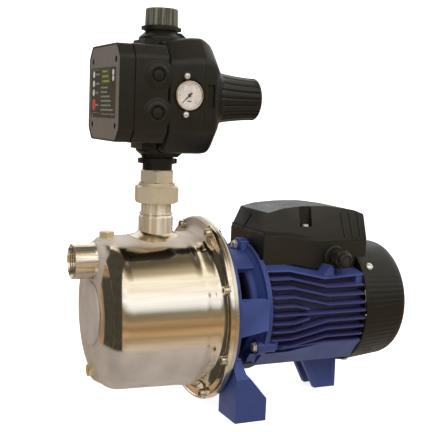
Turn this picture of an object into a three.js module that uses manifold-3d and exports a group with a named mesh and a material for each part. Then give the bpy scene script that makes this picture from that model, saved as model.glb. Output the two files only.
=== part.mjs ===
// Shallow well jet pump: a stainless jet pump close-coupled to an electric motor,
// with an electronic pressure controller standing on its discharge port.
//
// Millimetres, +Z up. The exported group stands on z = 0, centred in plan.
// Inside it, the pump set is drawn about the shaft: x = 0 is the front face of the
// pump flange, +X runs back towards the motor's fan, and z = 0 is the shaft axis.

import * as THREE from "three";
import { mergeVertices } from "three/addons/utils/BufferGeometryUtils.js";
import Module from "manifold-3d";

const wasm = await Module();
wasm.setup();

// ---------------------------------------------------------------- driving sizes

const GAP = 0.3; // clearance left between pieces that touch
const SHAFT_HEIGHT = 108; // shaft axis above the floor

const FLANGE_RADIUS = 105;
const FLANGE_SCREW_CIRCLE = 98.7;
const FLANGE_SCREWS = 8;
const LIP_THICKNESS = 3;
const FLANGE_THICKNESS = 8.3;

const CASING_WALL = 2;
const CASING_FRONT_X = -119; // flat front of the pressed casing
const CASING_FRONT_RADIUS = 85;
const CASING_REAR_RADIUS = 87;
const CASING_ROUNDING = 22;
const BOSS_FRONT_X = -122.6; // raised middle of the casing's front
const FRONT_PLATE_RADIUS = 34.8;
const FRONT_PLATE_FACE_X = -125.4;

const SOCKET_RADIUS = 19.2; // 1 inch pipe sockets
const SOCKET_BORE = 16.2;
const SUCTION_Z = 58;
const SUCTION_FACE_X = -146;
const PORT_X = -50.6; // axis of the discharge port and of the controller
const PORT_TOP_Z = 108.6;

const MOTOR_START_X = 60.3;
const MOTOR_END_X = 187;
const FIN_RADIUS = 76;
const ROOT_RADIUS = 62;
const FIN_PITCH = 9.7;
const FIN_WAVE = 10; // how far the fins shift between their two bends
const FIN_CENTRE_Z = 1.5;
const FIN_BEND_1_X = 91;
const FIN_BEND_2_X = 135.5;
const STATOR_RADIUS = 56;
const ROTOR_RADIUS = 34.8;
const SHAFT_RADIUS = 8.5;

const BRACKET_BOLT_CIRCLE = 71;
const COVER_END_X = 252;
const COVER_END_RADIUS = 70.4;
const COVER_SCREW_X = 199.5;
const COVER_SCREW_ANGLE = 49; // degrees from the top, towards -Y

const BOX_START_X = 64;
const BOX_END_X = 202;
const BOX_HALF_WIDTH = 44.5;
const BOX_TOP_HALF_WIDTH = 36;
const GLAND_X = 156;
const GLAND_Z = 61.2;
const GLAND_THREAD_RADIUS = 8.4;

const CONTROLLER_Z = 240; // middle of the controller above the shaft axis
const PANEL_X = -114.4;
const PANEL_HALF_WIDTH = 55.3;
const PANEL_HALF_HEIGHT = 50.3;
const PANEL_CHAMFER_Y = 11.5;
const PANEL_CHAMFER_Z = 13;
const BUTTON_RADIUS = 6.5;
const BUTTON_Y = 35.8;
const BUTTON_Z = CONTROLLER_Z - 13.2;
const GAUGE_X = -38.5;
const DRUM_HALF_WIDTH = 57;
const DRUM_HALF_HEIGHT = 62;
const DRUM_START_X = -61;
const DRUM_SEAM_X = -20;
const TAIL_END_X = 65;
const PIPE_RADIUS = 16.2;
const CAP_TOP_Z = 333;
const CAP_RADIUS = 18;

const CENTRE_X = (SUCTION_FACE_X + COVER_END_X) / 2;

// How many flat sides stand for a circle, on large and on ordinary turned pieces.
const CASING_SIDES = 28;
const ROUND_SIDES = 24;

// ---------------------------------------------------------------- materials

function finish(color, roughness, metalness) {
  return new THREE.MeshStandardMaterial({ color, roughness, metalness });
}

const MATERIAL = {
  polishedSteel: finish(0xc9bd9f, 0.2, 1.0),
  steel: finish(0xb4b2ac, 0.35, 1.0),
  nickel: finish(0xb8a98a, 0.3, 1.0),
  brass: finish(0xc9a24a, 0.35, 1.0),
  bluePaint: finish(0x3f4f8f, 0.45, 0.1),
  blackPlastic: finish(0x262520, 0.5, 0.0),
  greyPanel: finish(0x6a6058, 0.5, 0.0),
  redButton: finish(0xb03028, 0.45, 0.0),
  greyCap: finish(0x8f8c80, 0.35, 0.0),
  whiteDial: finish(0xf2f1ea, 0.4, 0.0),
  darkPointer: finish(0x1b1b1b, 0.5, 0.0),
  rubber: finish(0x1c1c1c, 0.8, 0.0),
  innerPlastic: finish(0x33332f, 0.6, 0.0),
  lamination: finish(0x6e6f72, 0.5, 0.8),
  ceramic: finish(0xd8d4c8, 0.5, 0.0),
};

// ---------------------------------------------------------------- shape helpers

const radians = (degrees) => (degrees * Math.PI) / 180;

// A closed three.js geometry as a solid that can be cut and joined, facing outwards
// whichever way its outline was drawn.
function solid(geometry) {
  const plain = geometry.index ? geometry.toNonIndexed() : geometry.clone();
  plain.deleteAttribute("normal");
  plain.deleteAttribute("uv");
  const merged = mergeVertices(plain, 1e-4);
  const vertProperties = new Float32Array(merged.attributes.position.array);
  const triVerts = new Uint32Array(merged.index.array);
  const made = new wasm.Manifold(new wasm.Mesh({ numProp: 3, vertProperties, triVerts }));
  if (made.volume() > 0) return made;
  for (let i = 0; i < triVerts.length; i += 3) {
    [triVerts[i + 1], triVerts[i + 2]] = [triVerts[i + 2], triVerts[i + 1]];
  }
  return new wasm.Manifold(new wasm.Mesh({ numProp: 3, vertProperties, triVerts }));
}

function geometryOf(manifold) {
  const mesh = manifold.getMesh();
  const geometry = new THREE.BufferGeometry();
  const positions = new Float32Array(mesh.vertProperties);
  geometry.setAttribute("position", new THREE.BufferAttribute(positions, 3));
  geometry.setIndex(new THREE.BufferAttribute(new Uint32Array(mesh.triVerts), 1));
  const flat = geometry.toNonIndexed();
  flat.computeVertexNormals();
  return flat;
}

const join = (first, ...others) => others.reduce((sum, next) => sum.add(next), first);
const cut = (first, ...others) => others.reduce((rest, next) => rest.subtract(next), first);

// A closed profile of [x, radius] points turned about the X axis.
function turnedX(profile, sides = ROUND_SIDES) {
  const points = profile.map(([x, radius]) => new THREE.Vector2(radius, x));
  if (profile[0][1] > 0) points.push(points[0].clone());
  return solid(new THREE.LatheGeometry(points, sides).rotateZ(-Math.PI / 2));
}

// A closed profile of [z, radius] points turned about the Z axis, through (x, y).
function turnedZ(profile, sides = 32, x = 0, y = 0) {
  const points = profile.map(([z, radius]) => new THREE.Vector2(radius, z));
  if (profile[0][1] > 0) points.push(points[0].clone());
  return solid(new THREE.LatheGeometry(points, sides).rotateX(Math.PI / 2).translate(x, y, 0));
}

// A round bar along X from x0 to x1, through (y, z).
function barX(radius, x0, x1, y = 0, z = 0, sides = ROUND_SIDES) {
  return solid(
    new THREE.CylinderGeometry(radius, radius, x1 - x0, sides)
      .rotateZ(-Math.PI / 2)
      .translate((x0 + x1) / 2, y, z),
  );
}

function barY(radius, y0, y1, x, z, sides = ROUND_SIDES) {
  return solid(
    new THREE.CylinderGeometry(radius, radius, y1 - y0, sides).translate(x, (y0 + y1) / 2, z),
  );
}

function barZ(radius, z0, z1, x = 0, y = 0, sides = ROUND_SIDES) {
  return solid(
    new THREE.CylinderGeometry(radius, radius, z1 - z0, sides)
      .rotateX(Math.PI / 2)
      .translate(x, y, (z0 + z1) / 2),
  );
}

function block(x0, x1, y0, y1, z0, z1) {
  return solid(
    new THREE.BoxGeometry(x1 - x0, y1 - y0, z1 - z0).translate(
      (x0 + x1) / 2,
      (y0 + y1) / 2,
      (z0 + z1) / 2,
    ),
  );
}

function outline(points) {
  return new THREE.Shape(points.map(([u, v]) => new THREE.Vector2(u, v)));
}

// An outline of [x, z] points carried along Y from y0 to y1.
function slabY(points, y0, y1) {
  const shape = points instanceof THREE.Shape ? points : outline(points);
  const geometry = new THREE.ExtrudeGeometry(shape, { depth: y1 - y0, bevelEnabled: false });
  return solid(geometry.rotateX(Math.PI / 2).translate(0, y1, 0));
}

// An outline of [y, z] points carried along X from x0 to x1.
function slabX(points, x0, x1) {
  const shape = points instanceof THREE.Shape ? points : outline(points);
  const geometry = new THREE.ExtrudeGeometry(shape, { depth: x1 - x0, bevelEnabled: false });
  geometry.rotateY(Math.PI / 2).rotateX(Math.PI / 2);
  return solid(geometry.translate(x0, 0, 0));
}

// A rectangle with its corners cut off, as [u, v] points about the origin.
function chamferedRectangle(halfWidth, halfHeight, chamferU, chamferV = chamferU) {
  const quarter = [
    [halfWidth, halfHeight - chamferV],
    [halfWidth - chamferU, halfHeight],
  ];
  const mirrored = (su, sv) => quarter.map(([u, v]) => [u * su, v * sv]);
  return [
    ...mirrored(1, 1),
    ...mirrored(-1, 1).reverse(),
    ...mirrored(-1, -1),
    ...mirrored(1, -1).reverse(),
  ];
}

const lift = (points, dz) => points.map(([u, v]) => [u, v + dz]);

const assembly = new THREE.Group();
const pumpSet = new THREE.Group();
pumpSet.position.set(-CENTRE_X, 0, SHAFT_HEIGHT);
assembly.add(pumpSet);

function add(name, shape, material, parent = pumpSet) {
  const geometry = shape instanceof THREE.BufferGeometry ? shape : geometryOf(shape);
  const mesh = new THREE.Mesh(geometry, material);
  mesh.name = name;
  parent.add(mesh);
  return mesh;
}

// ---------------------------------------------------------------- pump casing

const DRAIN_Z = -64.5;
const PRIMING_X = -107;
const PRIMING_SEAT_Z = 83;
const PLUG_SHANK = 6;

function casingSkin(inset) {
  const front = CASING_FRONT_X + inset;
  const rounding = CASING_ROUNDING - inset;
  const flat = CASING_FRONT_RADIUS - CASING_ROUNDING;
  const points = [[front, flat]];
  for (const angle of [30, 60, 90]) {
    const x = CASING_FRONT_X + CASING_ROUNDING - rounding * Math.cos(radians(angle));
    points.push([x, flat + rounding * Math.sin(radians(angle))]);
  }
  points.push([-14, CASING_REAR_RADIUS - inset]);
  return points;
}

function pumpCasing() {
  const outer = turnedX(
    [[BOSS_FRONT_X, 0], [BOSS_FRONT_X, 42], [CASING_FRONT_X, 50], ...casingSkin(0),
      [-4, CASING_REAR_RADIUS + 2], [0, CASING_REAR_RADIUS + 5], [0, FLANGE_RADIUS],
      [LIP_THICKNESS, FLANGE_RADIUS], [LIP_THICKNESS, 0]],
    CASING_SIDES,
  );
  const inner = turnedX(
    [[BOSS_FRONT_X + CASING_WALL, 0], [BOSS_FRONT_X + CASING_WALL, 41],
      [CASING_FRONT_X + CASING_WALL, 49], ...casingSkin(CASING_WALL),
      [-2, CASING_REAR_RADIUS + 1], [LIP_THICKNESS + 1, CASING_REAR_RADIUS + 1],
      [LIP_THICKNESS + 1, 0]],
    CASING_SIDES,
  );
  const suctionBoss = join(
    barX(SOCKET_RADIUS + 4, -121.5, -102, 0, SUCTION_Z),
    slabX([[-24, 20], [24, 20], [20, SUCTION_Z + 8], [-20, SUCTION_Z + 8]], -121.5, -112),
  );
  const drainBoss = barX(12, -120.5, -96, 0, DRAIN_Z, 16);
  const neck = turnedZ([[76, 0], [76, 34], [83, 29], [87, 23.5], [90, 21], [90, 0]], 24, PORT_X);
  const primingSeat = barZ(11, 70, PRIMING_SEAT_Z, PRIMING_X, 0, 16);
  const shell = cut(
    join(outer, suctionBoss, drainBoss, neck, primingSeat),
    inner,
    barX(SOCKET_RADIUS + GAP, -130, -100, 0, SUCTION_Z),
    barX(30, -130, -110),
    barZ(10.4, PRIMING_SEAT_Z, 95, PRIMING_X, 0, 16),
    barX(PLUG_SHANK + GAP, -130, -90, 0, DRAIN_Z, 16),
    barZ(PLUG_SHANK + GAP, 60, 90, PRIMING_X, 0, 16),
    barZ(SOCKET_RADIUS + GAP, 60, 100, PORT_X),
  );
  const screwHoles = flangeScrewPlaces().map(([y, z]) => barX(3 + GAP, -2, 6, y, z, 8));
  return cut(shell, ...screwHoles);
}

function flangeScrewPlaces() {
  const places = [];
  for (let i = 0; i < FLANGE_SCREWS; i += 1) {
    const angle = radians((360 / FLANGE_SCREWS) * (i + 0.5));
    places.push([-FLANGE_SCREW_CIRCLE * Math.sin(angle), FLANGE_SCREW_CIRCLE * Math.cos(angle)]);
  }
  return places;
}

add("pump_casing", pumpCasing(), MATERIAL.polishedSteel);

add(
  "suction_socket",
  turnedX(
    [[SUCTION_FACE_X, SOCKET_BORE], [SUCTION_FACE_X, SOCKET_RADIUS - 1],
      [SUCTION_FACE_X + 1, SOCKET_RADIUS], [-112.5, SOCKET_RADIUS], [-112.5, SOCKET_BORE]],
  ).translate([0, 0, SUCTION_Z]),
  MATERIAL.polishedSteel,
);

add(
  "discharge_socket",
  turnedZ([[79, SOCKET_BORE], [PORT_TOP_Z, SOCKET_BORE], [PORT_TOP_Z, SOCKET_RADIUS - 0.6],
    [PORT_TOP_Z - 1, SOCKET_RADIUS], [79, SOCKET_RADIUS]], 24, PORT_X),
  MATERIAL.nickel,
);

add(
  "front_plate",
  turnedX([[FRONT_PLATE_FACE_X, 0], [FRONT_PLATE_FACE_X, FRONT_PLATE_RADIUS - 1.2],
    [FRONT_PLATE_FACE_X + 1.2, FRONT_PLATE_RADIUS], [BOSS_FRONT_X - GAP, FRONT_PLATE_RADIUS],
    [BOSS_FRONT_X - GAP, 0]], 20),
  MATERIAL.steel,
);

// A hexagon-headed plug with its head at z = 0 upwards and its shank below.
function hexPlug(headRadius, headHeight, shankLength) {
  const head = barZ(headRadius, 0, headHeight, 0, 0, 6);
  return join(head, barZ(PLUG_SHANK, -shankLength, 0.5, 0, 0, 16));
}

const primingPlug = add("priming_plug", geometryOf(hexPlug(9, 7, 4.5)), MATERIAL.brass);
primingPlug.position.set(PRIMING_X, 0, PRIMING_SEAT_Z + GAP);
const drainPlug = add("drain_plug", geometryOf(hexPlug(7.6, 5, 9)), MATERIAL.brass);
drainPlug.position.set(-120.5 - GAP, 0, DRAIN_Z);
drainPlug.rotation.y = -Math.PI / 2;

// ---------------------------------------------------------------- ejector and impeller

const EJECTOR_BACK_X = -84;

function ejectorHousing() {
  const outside = join(
    barX(33, -116.5, EJECTOR_BACK_X),
    block(-112, EJECTOR_BACK_X, -18, 18, 0, 72),
  );
  return cut(
    outside,
    barX(29, -118, EJECTOR_BACK_X - 4),
    block(-109, EJECTOR_BACK_X - 3, -16, 16, 0, 69.5),
    barX(14 + GAP, -100, -70),
    barX(SOCKET_BORE - 1, -120, -105, 0, SUCTION_Z),
  );
}

add("ejector_housing", ejectorHousing(), MATERIAL.innerPlastic);

add(
  "ejector_nozzle",
  turnedX([[-116, 9], [-116, 28.7], [-111, 28.7], [-108, 14], [-98, 7], [-98, 4.5]], 20),
  MATERIAL.brass,
);

add(
  "venturi_tube",
  turnedX([[-94, 9], [-94, 14], [-60, 14], [-34, 20], [-30.3, 20], [-30.3, 17], [-60, 7.5]], 20),
  MATERIAL.innerPlastic,
);

function guideVanes() {
  const vanes = [];
  for (let i = 0; i < 8; i += 1) {
    vanes.push(block(-27, -6, -2, 2, 65, 76).rotate([45 * i, 0, 0]));
  }
  return vanes;
}

add(
  "diffuser",
  join(
    turnedX([[-30, 21], [-30, 78], [-1, 78], [-1, 75], [-26, 75], [-26, 21]], 24),
    ...guideVanes(),
  ),
  MATERIAL.innerPlastic,
);

const rotor = new THREE.Group();
pumpSet.add(rotor);

function impeller() {
  const shrouds = join(
    turnedX([[-13, SHAFT_RADIUS + GAP], [-13, 62], [-10.5, 62], [-10.5, 13], [-9.3, 13],
      [-9.3, SHAFT_RADIUS + GAP]]),
    turnedX([[-24, 17], [-24, 20], [-22, 62], [-20, 62], [-21, 17]]),
    turnedX([[-22, SHAFT_RADIUS + GAP], [-22, 12], [-12, 14], [-12, SHAFT_RADIUS + GAP]]),
  );
  const vanes = [];
  for (let i = 0; i < 6; i += 1) {
    const bent = join(
      block(-22, -12, -1.2, 1.2, 20, 44),
      block(-22, -12, -1.2, 1.2, 0, 19).rotate([38, 0, 0]).translate([0, 0, 43]),
    );
    vanes.push(bent.rotate([60 * i, 0, 0]));
  }
  return join(shrouds, ...vanes);
}

add("impeller", impeller(), MATERIAL.steel, rotor);
add("impeller_nut", cut(barX(9, -31, -24.3, 0, 0, 6), barX(5.3, -32, -24)), MATERIAL.steel, rotor);

add(
  "seal_head",
  turnedX(
    [[-9, SHAFT_RADIUS + GAP], [-9, 12], [-6, 14], [0.5, 14], [3.2, 12], [3.2, SHAFT_RADIUS + GAP]],
    20,
  ),
  MATERIAL.rubber,
  rotor,
);

add(
  "seal_seat",
  turnedX([[3.6, 10], [3.6, 16], [8, 16], [8, 10]], 20),
  MATERIAL.ceramic,
);

function sealPlate() {
  const plate = turnedX(
    [[LIP_THICKNESS + GAP, 16.3], [LIP_THICKNESS + GAP, FLANGE_RADIUS - 0.4],
      [LIP_THICKNESS + 1, FLANGE_RADIUS], [FLANGE_THICKNESS - 1, FLANGE_RADIUS],
      [FLANGE_THICKNESS, FLANGE_RADIUS - 1.5], [FLANGE_THICKNESS, 16.3]],
    CASING_SIDES,
  );
  const holes = flangeScrewPlaces().map(([y, z]) => barX(3 + GAP, 2, 10, y, z, 8));
  return cut(plate, ...holes);
}

add("seal_plate", sealPlate(), MATERIAL.polishedSteel);

add(
  "casing_o_ring",
  turnedX([[-0.8, 85.2], [-0.8, 87.6], [2.8, 87.6], [2.8, 85.2]], CASING_SIDES),
  MATERIAL.rubber,
);

// A socket-head cap screw along X, its head standing in front of x = 0.
function flangeScrew() {
  return cut(
    join(barX(5, -6.3, -GAP, 0, 0, 12), barX(3, -1, 17, 0, 0, 8)),
    barX(2.6, -7, -3, 0, 0, 6),
  );
}

flangeScrewPlaces().forEach(([y, z], i) => {
  const screw = add(`flange_screw_${i + 1}`, geometryOf(flangeScrew()), MATERIAL.steel);
  screw.position.set(0, y, z);
});

// ---------------------------------------------------------------- shaft and rotor

add(
  "shaft",
  turnedX([[-34, 0], [-34, 5], [-24, 5], [-24, SHAFT_RADIUS], [60, SHAFT_RADIUS], [60, 11],
    [180, 11], [180, 7.5], [236, 7.5], [236, 0]], 20),
  MATERIAL.steel,
  rotor,
);

add(
  "rotor_core",
  turnedX([[82, 11.3], [82, 28], [85, ROTOR_RADIUS], [165, ROTOR_RADIUS], [168, 28], [168, 11.3]]),
  MATERIAL.lamination,
  rotor,
);

function coolingFan() {
  const hub = turnedX([[205, 7.8], [205, 14], [211, 34], [213, 34], [213, 14], [222, 12], [222, 7.8]]);
  const blades = [];
  for (let i = 0; i < 7; i += 1) {
    blades.push(block(207, 230, -1.1, 1.1, 20, 60).rotate([(360 / 7) * i, 0, 0]));
  }
  return join(hub, ...blades);
}

add("cooling_fan", coolingFan(), MATERIAL.innerPlastic, rotor);

// ---------------------------------------------------------------- motor bracket

const BRACKET_FRONT_X = FLANGE_THICKNESS + GAP;
const BRACKET_END_X = MOTOR_START_X - GAP;
const LEG_OUTER_Y = 97;
const LEG_INNER_Y = 54;

function bracketBoltPlaces() {
  return [0, 120, 240].map((degrees) => {
    const angle = radians(degrees);
    return [-BRACKET_BOLT_CIRCLE * Math.sin(angle), BRACKET_BOLT_CIRCLE * Math.cos(angle)];
  });
}

// A flat ring about the shaft.
function flatRing(outer, inner, x0, x1) {
  return cut(barX(outer, x0, x1, 0, 0, ROUND_SIDES), barX(inner, x0 - 1, x1 + 1, 0, 0, ROUND_SIDES));
}

// A ring sector about the X axis, cut from a tube by a wedge that spans fromDeg to toDeg.
function ringSector(inner, outer, x0, x1, fromDeg, toDeg) {
  const reach = outer * 1.6;
  const edge = (degrees) => [-reach * Math.sin(radians(degrees)), reach * Math.cos(radians(degrees))];
  const wedge = slabX([[0, 0], edge(fromDeg), edge((fromDeg + toDeg) / 2), edge(toDeg)], x0, x1);
  return flatRing(outer, inner, x0, x1).intersect(wedge);
}

function bracketLeg(side) {
  const leg = slabY(
    [[11, -SHAFT_HEIGHT], [48, -SHAFT_HEIGHT], [48, -83], [24, -55], [21, -38], [11, -38]],
    LEG_INNER_Y,
    LEG_OUTER_Y,
  );
  const foot = slabX(
    [[LEG_INNER_Y, -40], [LEG_OUTER_Y - 14, -40], [LEG_OUTER_Y, -60], [LEG_OUTER_Y, -SHAFT_HEIGHT],
      [LEG_INNER_Y, -SHAFT_HEIGHT]],
    10,
    50,
  );
  const shaped = leg.intersect(foot);
  return side > 0 ? shaped : shaped.mirror([0, 1, 0]);
}

function motorBracket() {
  const frontRing = flatRing(95, 60, BRACKET_FRONT_X, 16);
  const endRing = flatRing(FIN_RADIUS, 50, 50, BRACKET_END_X);
  const endDisc = barX(52, 52, 58, 0, 0, ROUND_SIDES);
  const hub = barX(27, 42, BRACKET_END_X);
  const bell = turnedX(
    [[40.5, 49], [40.5, 56], [45.5, 61.5], [50, 63.5], [56.5, 72], [56.5, 60], [53, 57], [46, 54], [44, 49]],
  );
  const sideArm = slabY([[14, 21], [54, 21], [54, -11], [14, -20]], 64, 80);
  const topArm = ringSector(60, 67.5, 14, 54, -52, 52);
  const bottomArm = ringSector(56, FIN_RADIUS, 14, 54, 140, 220);
  const baseBand = slabX([[-58, -44], [-44, -62], [44, -62], [58, -44]], 45, BRACKET_END_X);
  const web = cut(
    slabX([[-97, -84], [97, -84], [88, -40], [-88, -40]], 11, 22),
    barX(60, 5, 30, 0, 0, ROUND_SIDES),
  );
  const lugs = flangeScrewPlaces().map(([y, z]) => barX(7.5, BRACKET_FRONT_X, 12, y * 0.96, z * 0.96, 8));
  const rim = barX(104, 5, 25, 0, 0, ROUND_SIDES);
  const boltLugs = bracketBoltPlaces().map(([y, z]) => barX(8, 50, BRACKET_END_X, y, z, 12));
  const topLug = block(50, BRACKET_END_X, -15, 15, 62, 76.4);
  const whole = join(
    frontRing, endRing, endDisc, hub, bell, sideArm, sideArm.mirror([0, 1, 0]), topArm, bottomArm,
    baseBand, web, bracketLeg(1), bracketLeg(-1), topLug, ...boltLugs, join(...lugs).intersect(rim),
  );
  const screwHoles = flangeScrewPlaces().map(([y, z]) => barX(3 + GAP, 5, 25, y, z, 8));
  const boltHoles = bracketBoltPlaces().map(([y, z]) => barX(2.5 + GAP, 40, 70, y, z, 8));
  const boltPockets = bracketBoltPlaces().map(([y, z]) => barX(6.5, 20, 50, y, z, 12));
  return cut(whole, barX(20.3, 44, 65), barX(13, 30, 65), ...screwHoles, ...boltHoles, ...boltPockets);
}

add("motor_bracket", motorBracket(), MATERIAL.bluePaint);

bracketBoltPlaces().forEach(([y, z], i) => {
  const bolt = join(barX(4.6, 45.5, 50 - GAP, y, z, 8), barX(2.5, 49, 71, y, z, 8));
  add(`bracket_bolt_${i + 1}`, bolt, MATERIAL.steel);
});

add(
  "front_bearing",
  turnedX([[46, SHAFT_RADIUS + GAP], [46, 19.5], [46.5, 20], [57.5, 20], [58, 19.5],
    [58, SHAFT_RADIUS + GAP]], 20),
  MATERIAL.steel,
);

// ---------------------------------------------------------------- motor frame

const PAD_HALF_WIDTH = 33;
const PAD_TOP_Z = 64.3;
const FIN_THICKNESS = 2.6;

// The top fin: a ledge that dips with the fins and reaches in under the terminal box.
const LEDGE = [
  [MOTOR_START_X + 3, 47.5], [FIN_BEND_1_X, 47], [FIN_BEND_2_X, 38], [MOTOR_END_X, 40.2],
  [MOTOR_END_X, 43.8], [FIN_BEND_2_X, 42.6], [FIN_BEND_1_X, 51.5], [MOTOR_START_X + 3, 51.5],
];

// One fin's centre line in the X-Z plane, and the strip of even width around it.
function finStrip(leftZ, rightZ, endX = MOTOR_END_X) {
  const start = MOTOR_START_X + 6;
  const line = [[start, leftZ], [FIN_BEND_1_X, leftZ]];
  if (endX > FIN_BEND_2_X) line.push([FIN_BEND_2_X, rightZ], [endX, rightZ]);
  else line.push([endX, rightZ]);
  const half = FIN_THICKNESS / 2;
  const top = line.map(([x, z]) => [x, z + half]);
  const bottom = line.map(([x, z]) => [x, z - half]);
  return slabY([...bottom, ...top.toReversed()], 40, FIN_RADIUS + 4);
}

function finStack() {
  const shortFinEnd = 115;
  const strips = [finStrip(FIN_CENTRE_Z, FIN_CENTRE_Z)];
  for (const side of [1, -1]) {
    const full = side > 0 ? 4 : 5;
    for (let k = 1; k <= full; k += 1) {
      const leftZ = FIN_CENTRE_Z + side * FIN_PITCH * k;
      if (k === 1) strips.push(finStrip(leftZ, leftZ - side * 4, shortFinEnd));
      else strips.push(finStrip(leftZ, leftZ - side * FIN_WAVE));
    }
  }
  return join(...strips);
}

function motorFrame() {
  const oneSide = finStack();
  const envelope = barX(FIN_RADIUS, MOTOR_START_X, MOTOR_END_X, 0, 0, ROUND_SIDES);
  const fins = join(oneSide, oneSide.mirror([0, 1, 0])).intersect(envelope);
  const root = barX(ROOT_RADIUS, MOTOR_START_X, MOTOR_END_X, 0, 0, ROUND_SIDES);
  const endRing = cut(
    barX(70, MOTOR_START_X, MOTOR_START_X + 3.4, 0, 0, ROUND_SIDES),
    block(0, 100, -BOX_HALF_WIDTH, BOX_HALF_WIDTH, 52, 90),
  );
  const pad = block(MOTOR_START_X, MOTOR_END_X, -PAD_HALF_WIDTH, PAD_HALF_WIDTH, 40, PAD_TOP_Z);
  const ledge = slabY(LEDGE, 30, FIN_RADIUS).intersect(envelope);
  const base = slabX([[-62, -44], [-44, -62], [44, -62], [62, -44], [55, -36], [-55, -36]],
    MOTOR_START_X, MOTOR_END_X);
  const lugs = bracketBoltPlaces().map(([y, z]) => barX(7, MOTOR_START_X, 73, y, z, 12));
  const bores = bracketBoltPlaces().map(([y, z]) => barX(2.5 + GAP, 50, 72, y, z, 8));
  return cut(
    join(root, fins, endRing, pad, ledge, ledge.mirror([0, 1, 0]), base, ...lugs),
    barX(STATOR_RADIUS + GAP, 50, 200, 0, 0, ROUND_SIDES),
    ...bores,
  );
}

add("motor_frame", motorFrame(), MATERIAL.bluePaint);

// The wound stator: a laminated core with a rounded coil ring at each end.
add(
  "stator",
  turnedX([[85, ROTOR_RADIUS + 0.5], [85, 39], [72, 39], [69, 42], [69, 50], [72, 53], [85, 53],
    [85, STATOR_RADIUS], [165, STATOR_RADIUS], [165, 53], [178, 53], [181, 50], [181, 42], [178, 39],
    [165, 39], [165, ROTOR_RADIUS + 0.5]], ROUND_SIDES),
  MATERIAL.lamination,
);

function rearShield() {
  const disc = turnedX([[MOTOR_END_X + GAP, 17.8], [MOTOR_END_X + GAP, 60], [194, 60], [197, 24],
    [197, 17.8]]);
  const lugs = coverScrewAngles().map((degrees) =>
    block(190, 205, -6, 6, 50, 70.6).rotate([degrees, 0, 0]),
  );
  const bores = coverScrewAngles().map((degrees) =>
    barZ(1.9, 60, 76, COVER_SCREW_X, 0, 8).rotate([degrees, 0, 0]),
  );
  return cut(join(disc, ...lugs), barX(26, 196.9, 206), ...bores);
}

// Turning by +angle about X carries the top towards -Y.
function coverScrewAngles() {
  return [COVER_SCREW_ANGLE, COVER_SCREW_ANGLE + 120, COVER_SCREW_ANGLE + 240];
}

add("rear_shield", rearShield(), MATERIAL.lamination);

add(
  "rear_bearing",
  turnedX([[187.5, 7.8], [187.5, 17.5], [196.5, 17.5], [196.5, 7.8]], 20),
  MATERIAL.steel,
);

function fanCover() {
  const shell = turnedX(
    [[MOTOR_END_X + GAP, 74], [MOTOR_END_X + GAP, FIN_RADIUS], [238, COVER_END_RADIUS + 0.6],
      [246, COVER_END_RADIUS - 2.5], [250.5, COVER_END_RADIUS - 8],
      [COVER_END_X, COVER_END_RADIUS - 14],
      [COVER_END_X, 0], [COVER_END_X - 2.2, 0], [COVER_END_X - 2.2, COVER_END_RADIUS - 14.5],
      [244, COVER_END_RADIUS - 5], [238, COVER_END_RADIUS - 2]],
    ROUND_SIDES,
  );
  const slots = [];
  for (let i = 0; i < 12; i += 1) {
    slots.push(block(245, 256, -3.5, 3.5, 18, 48).rotate([30 * i, 0, 0]));
  }
  const boxRoom = block(180, BOX_END_X + GAP, -BOX_HALF_WIDTH - GAP, BOX_HALF_WIDTH + GAP, 50, 90);
  const screwHoles = coverScrewAngles().map((degrees) =>
    barZ(1.9, 66, 80, COVER_SCREW_X, 0, 8).rotate([degrees, 0, 0]),
  );
  return cut(shell, boxRoom, ...slots, ...screwHoles);
}

add("fan_cover", fanCover(), MATERIAL.blackPlastic);

coverScrewAngles().forEach((degrees, i) => {
  const headSeat = 75.4;
  const screw = join(
    barZ(3.6, headSeat, headSeat + 2.2, COVER_SCREW_X, 0, 8),
    barZ(1.6, 62, headSeat + 1, COVER_SCREW_X, 0, 8),
  );
  add(`cover_screw_${i + 1}`, screw.rotate([degrees, 0, 0]), MATERIAL.steel);
});

const REAR_FOOT_HALF_WIDTH = 16;
const REAR_FOOT_TOP_Z = -62.3;

function rearFoot() {
  const side = slabY(
    [[134, REAR_FOOT_TOP_Z], [186.5, REAR_FOOT_TOP_Z], [186.5, -SHAFT_HEIGHT], [157.5, -SHAFT_HEIGHT]],
    -REAR_FOOT_HALF_WIDTH,
    REAR_FOOT_HALF_WIDTH,
  );
  const channel = block(120, 195, -8.5, 8.5, -SHAFT_HEIGHT - 1, -71);
  return cut(side, channel);
}

add("rear_foot", rearFoot(), MATERIAL.bluePaint);

// ---------------------------------------------------------------- terminal box

const SEAM = [[BOX_START_X, 88], [98, 86], [142, 77.5], [BOX_END_X, 79.5]];
const FLOOR_Z = PAD_TOP_Z + GAP;
const SKIRT_Z = 52.8; // the box's lower edge towards the pump
const LOW_SKIRT_Z = 44.8; // and over the motor's rear half, beside the dipped ledge

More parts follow.
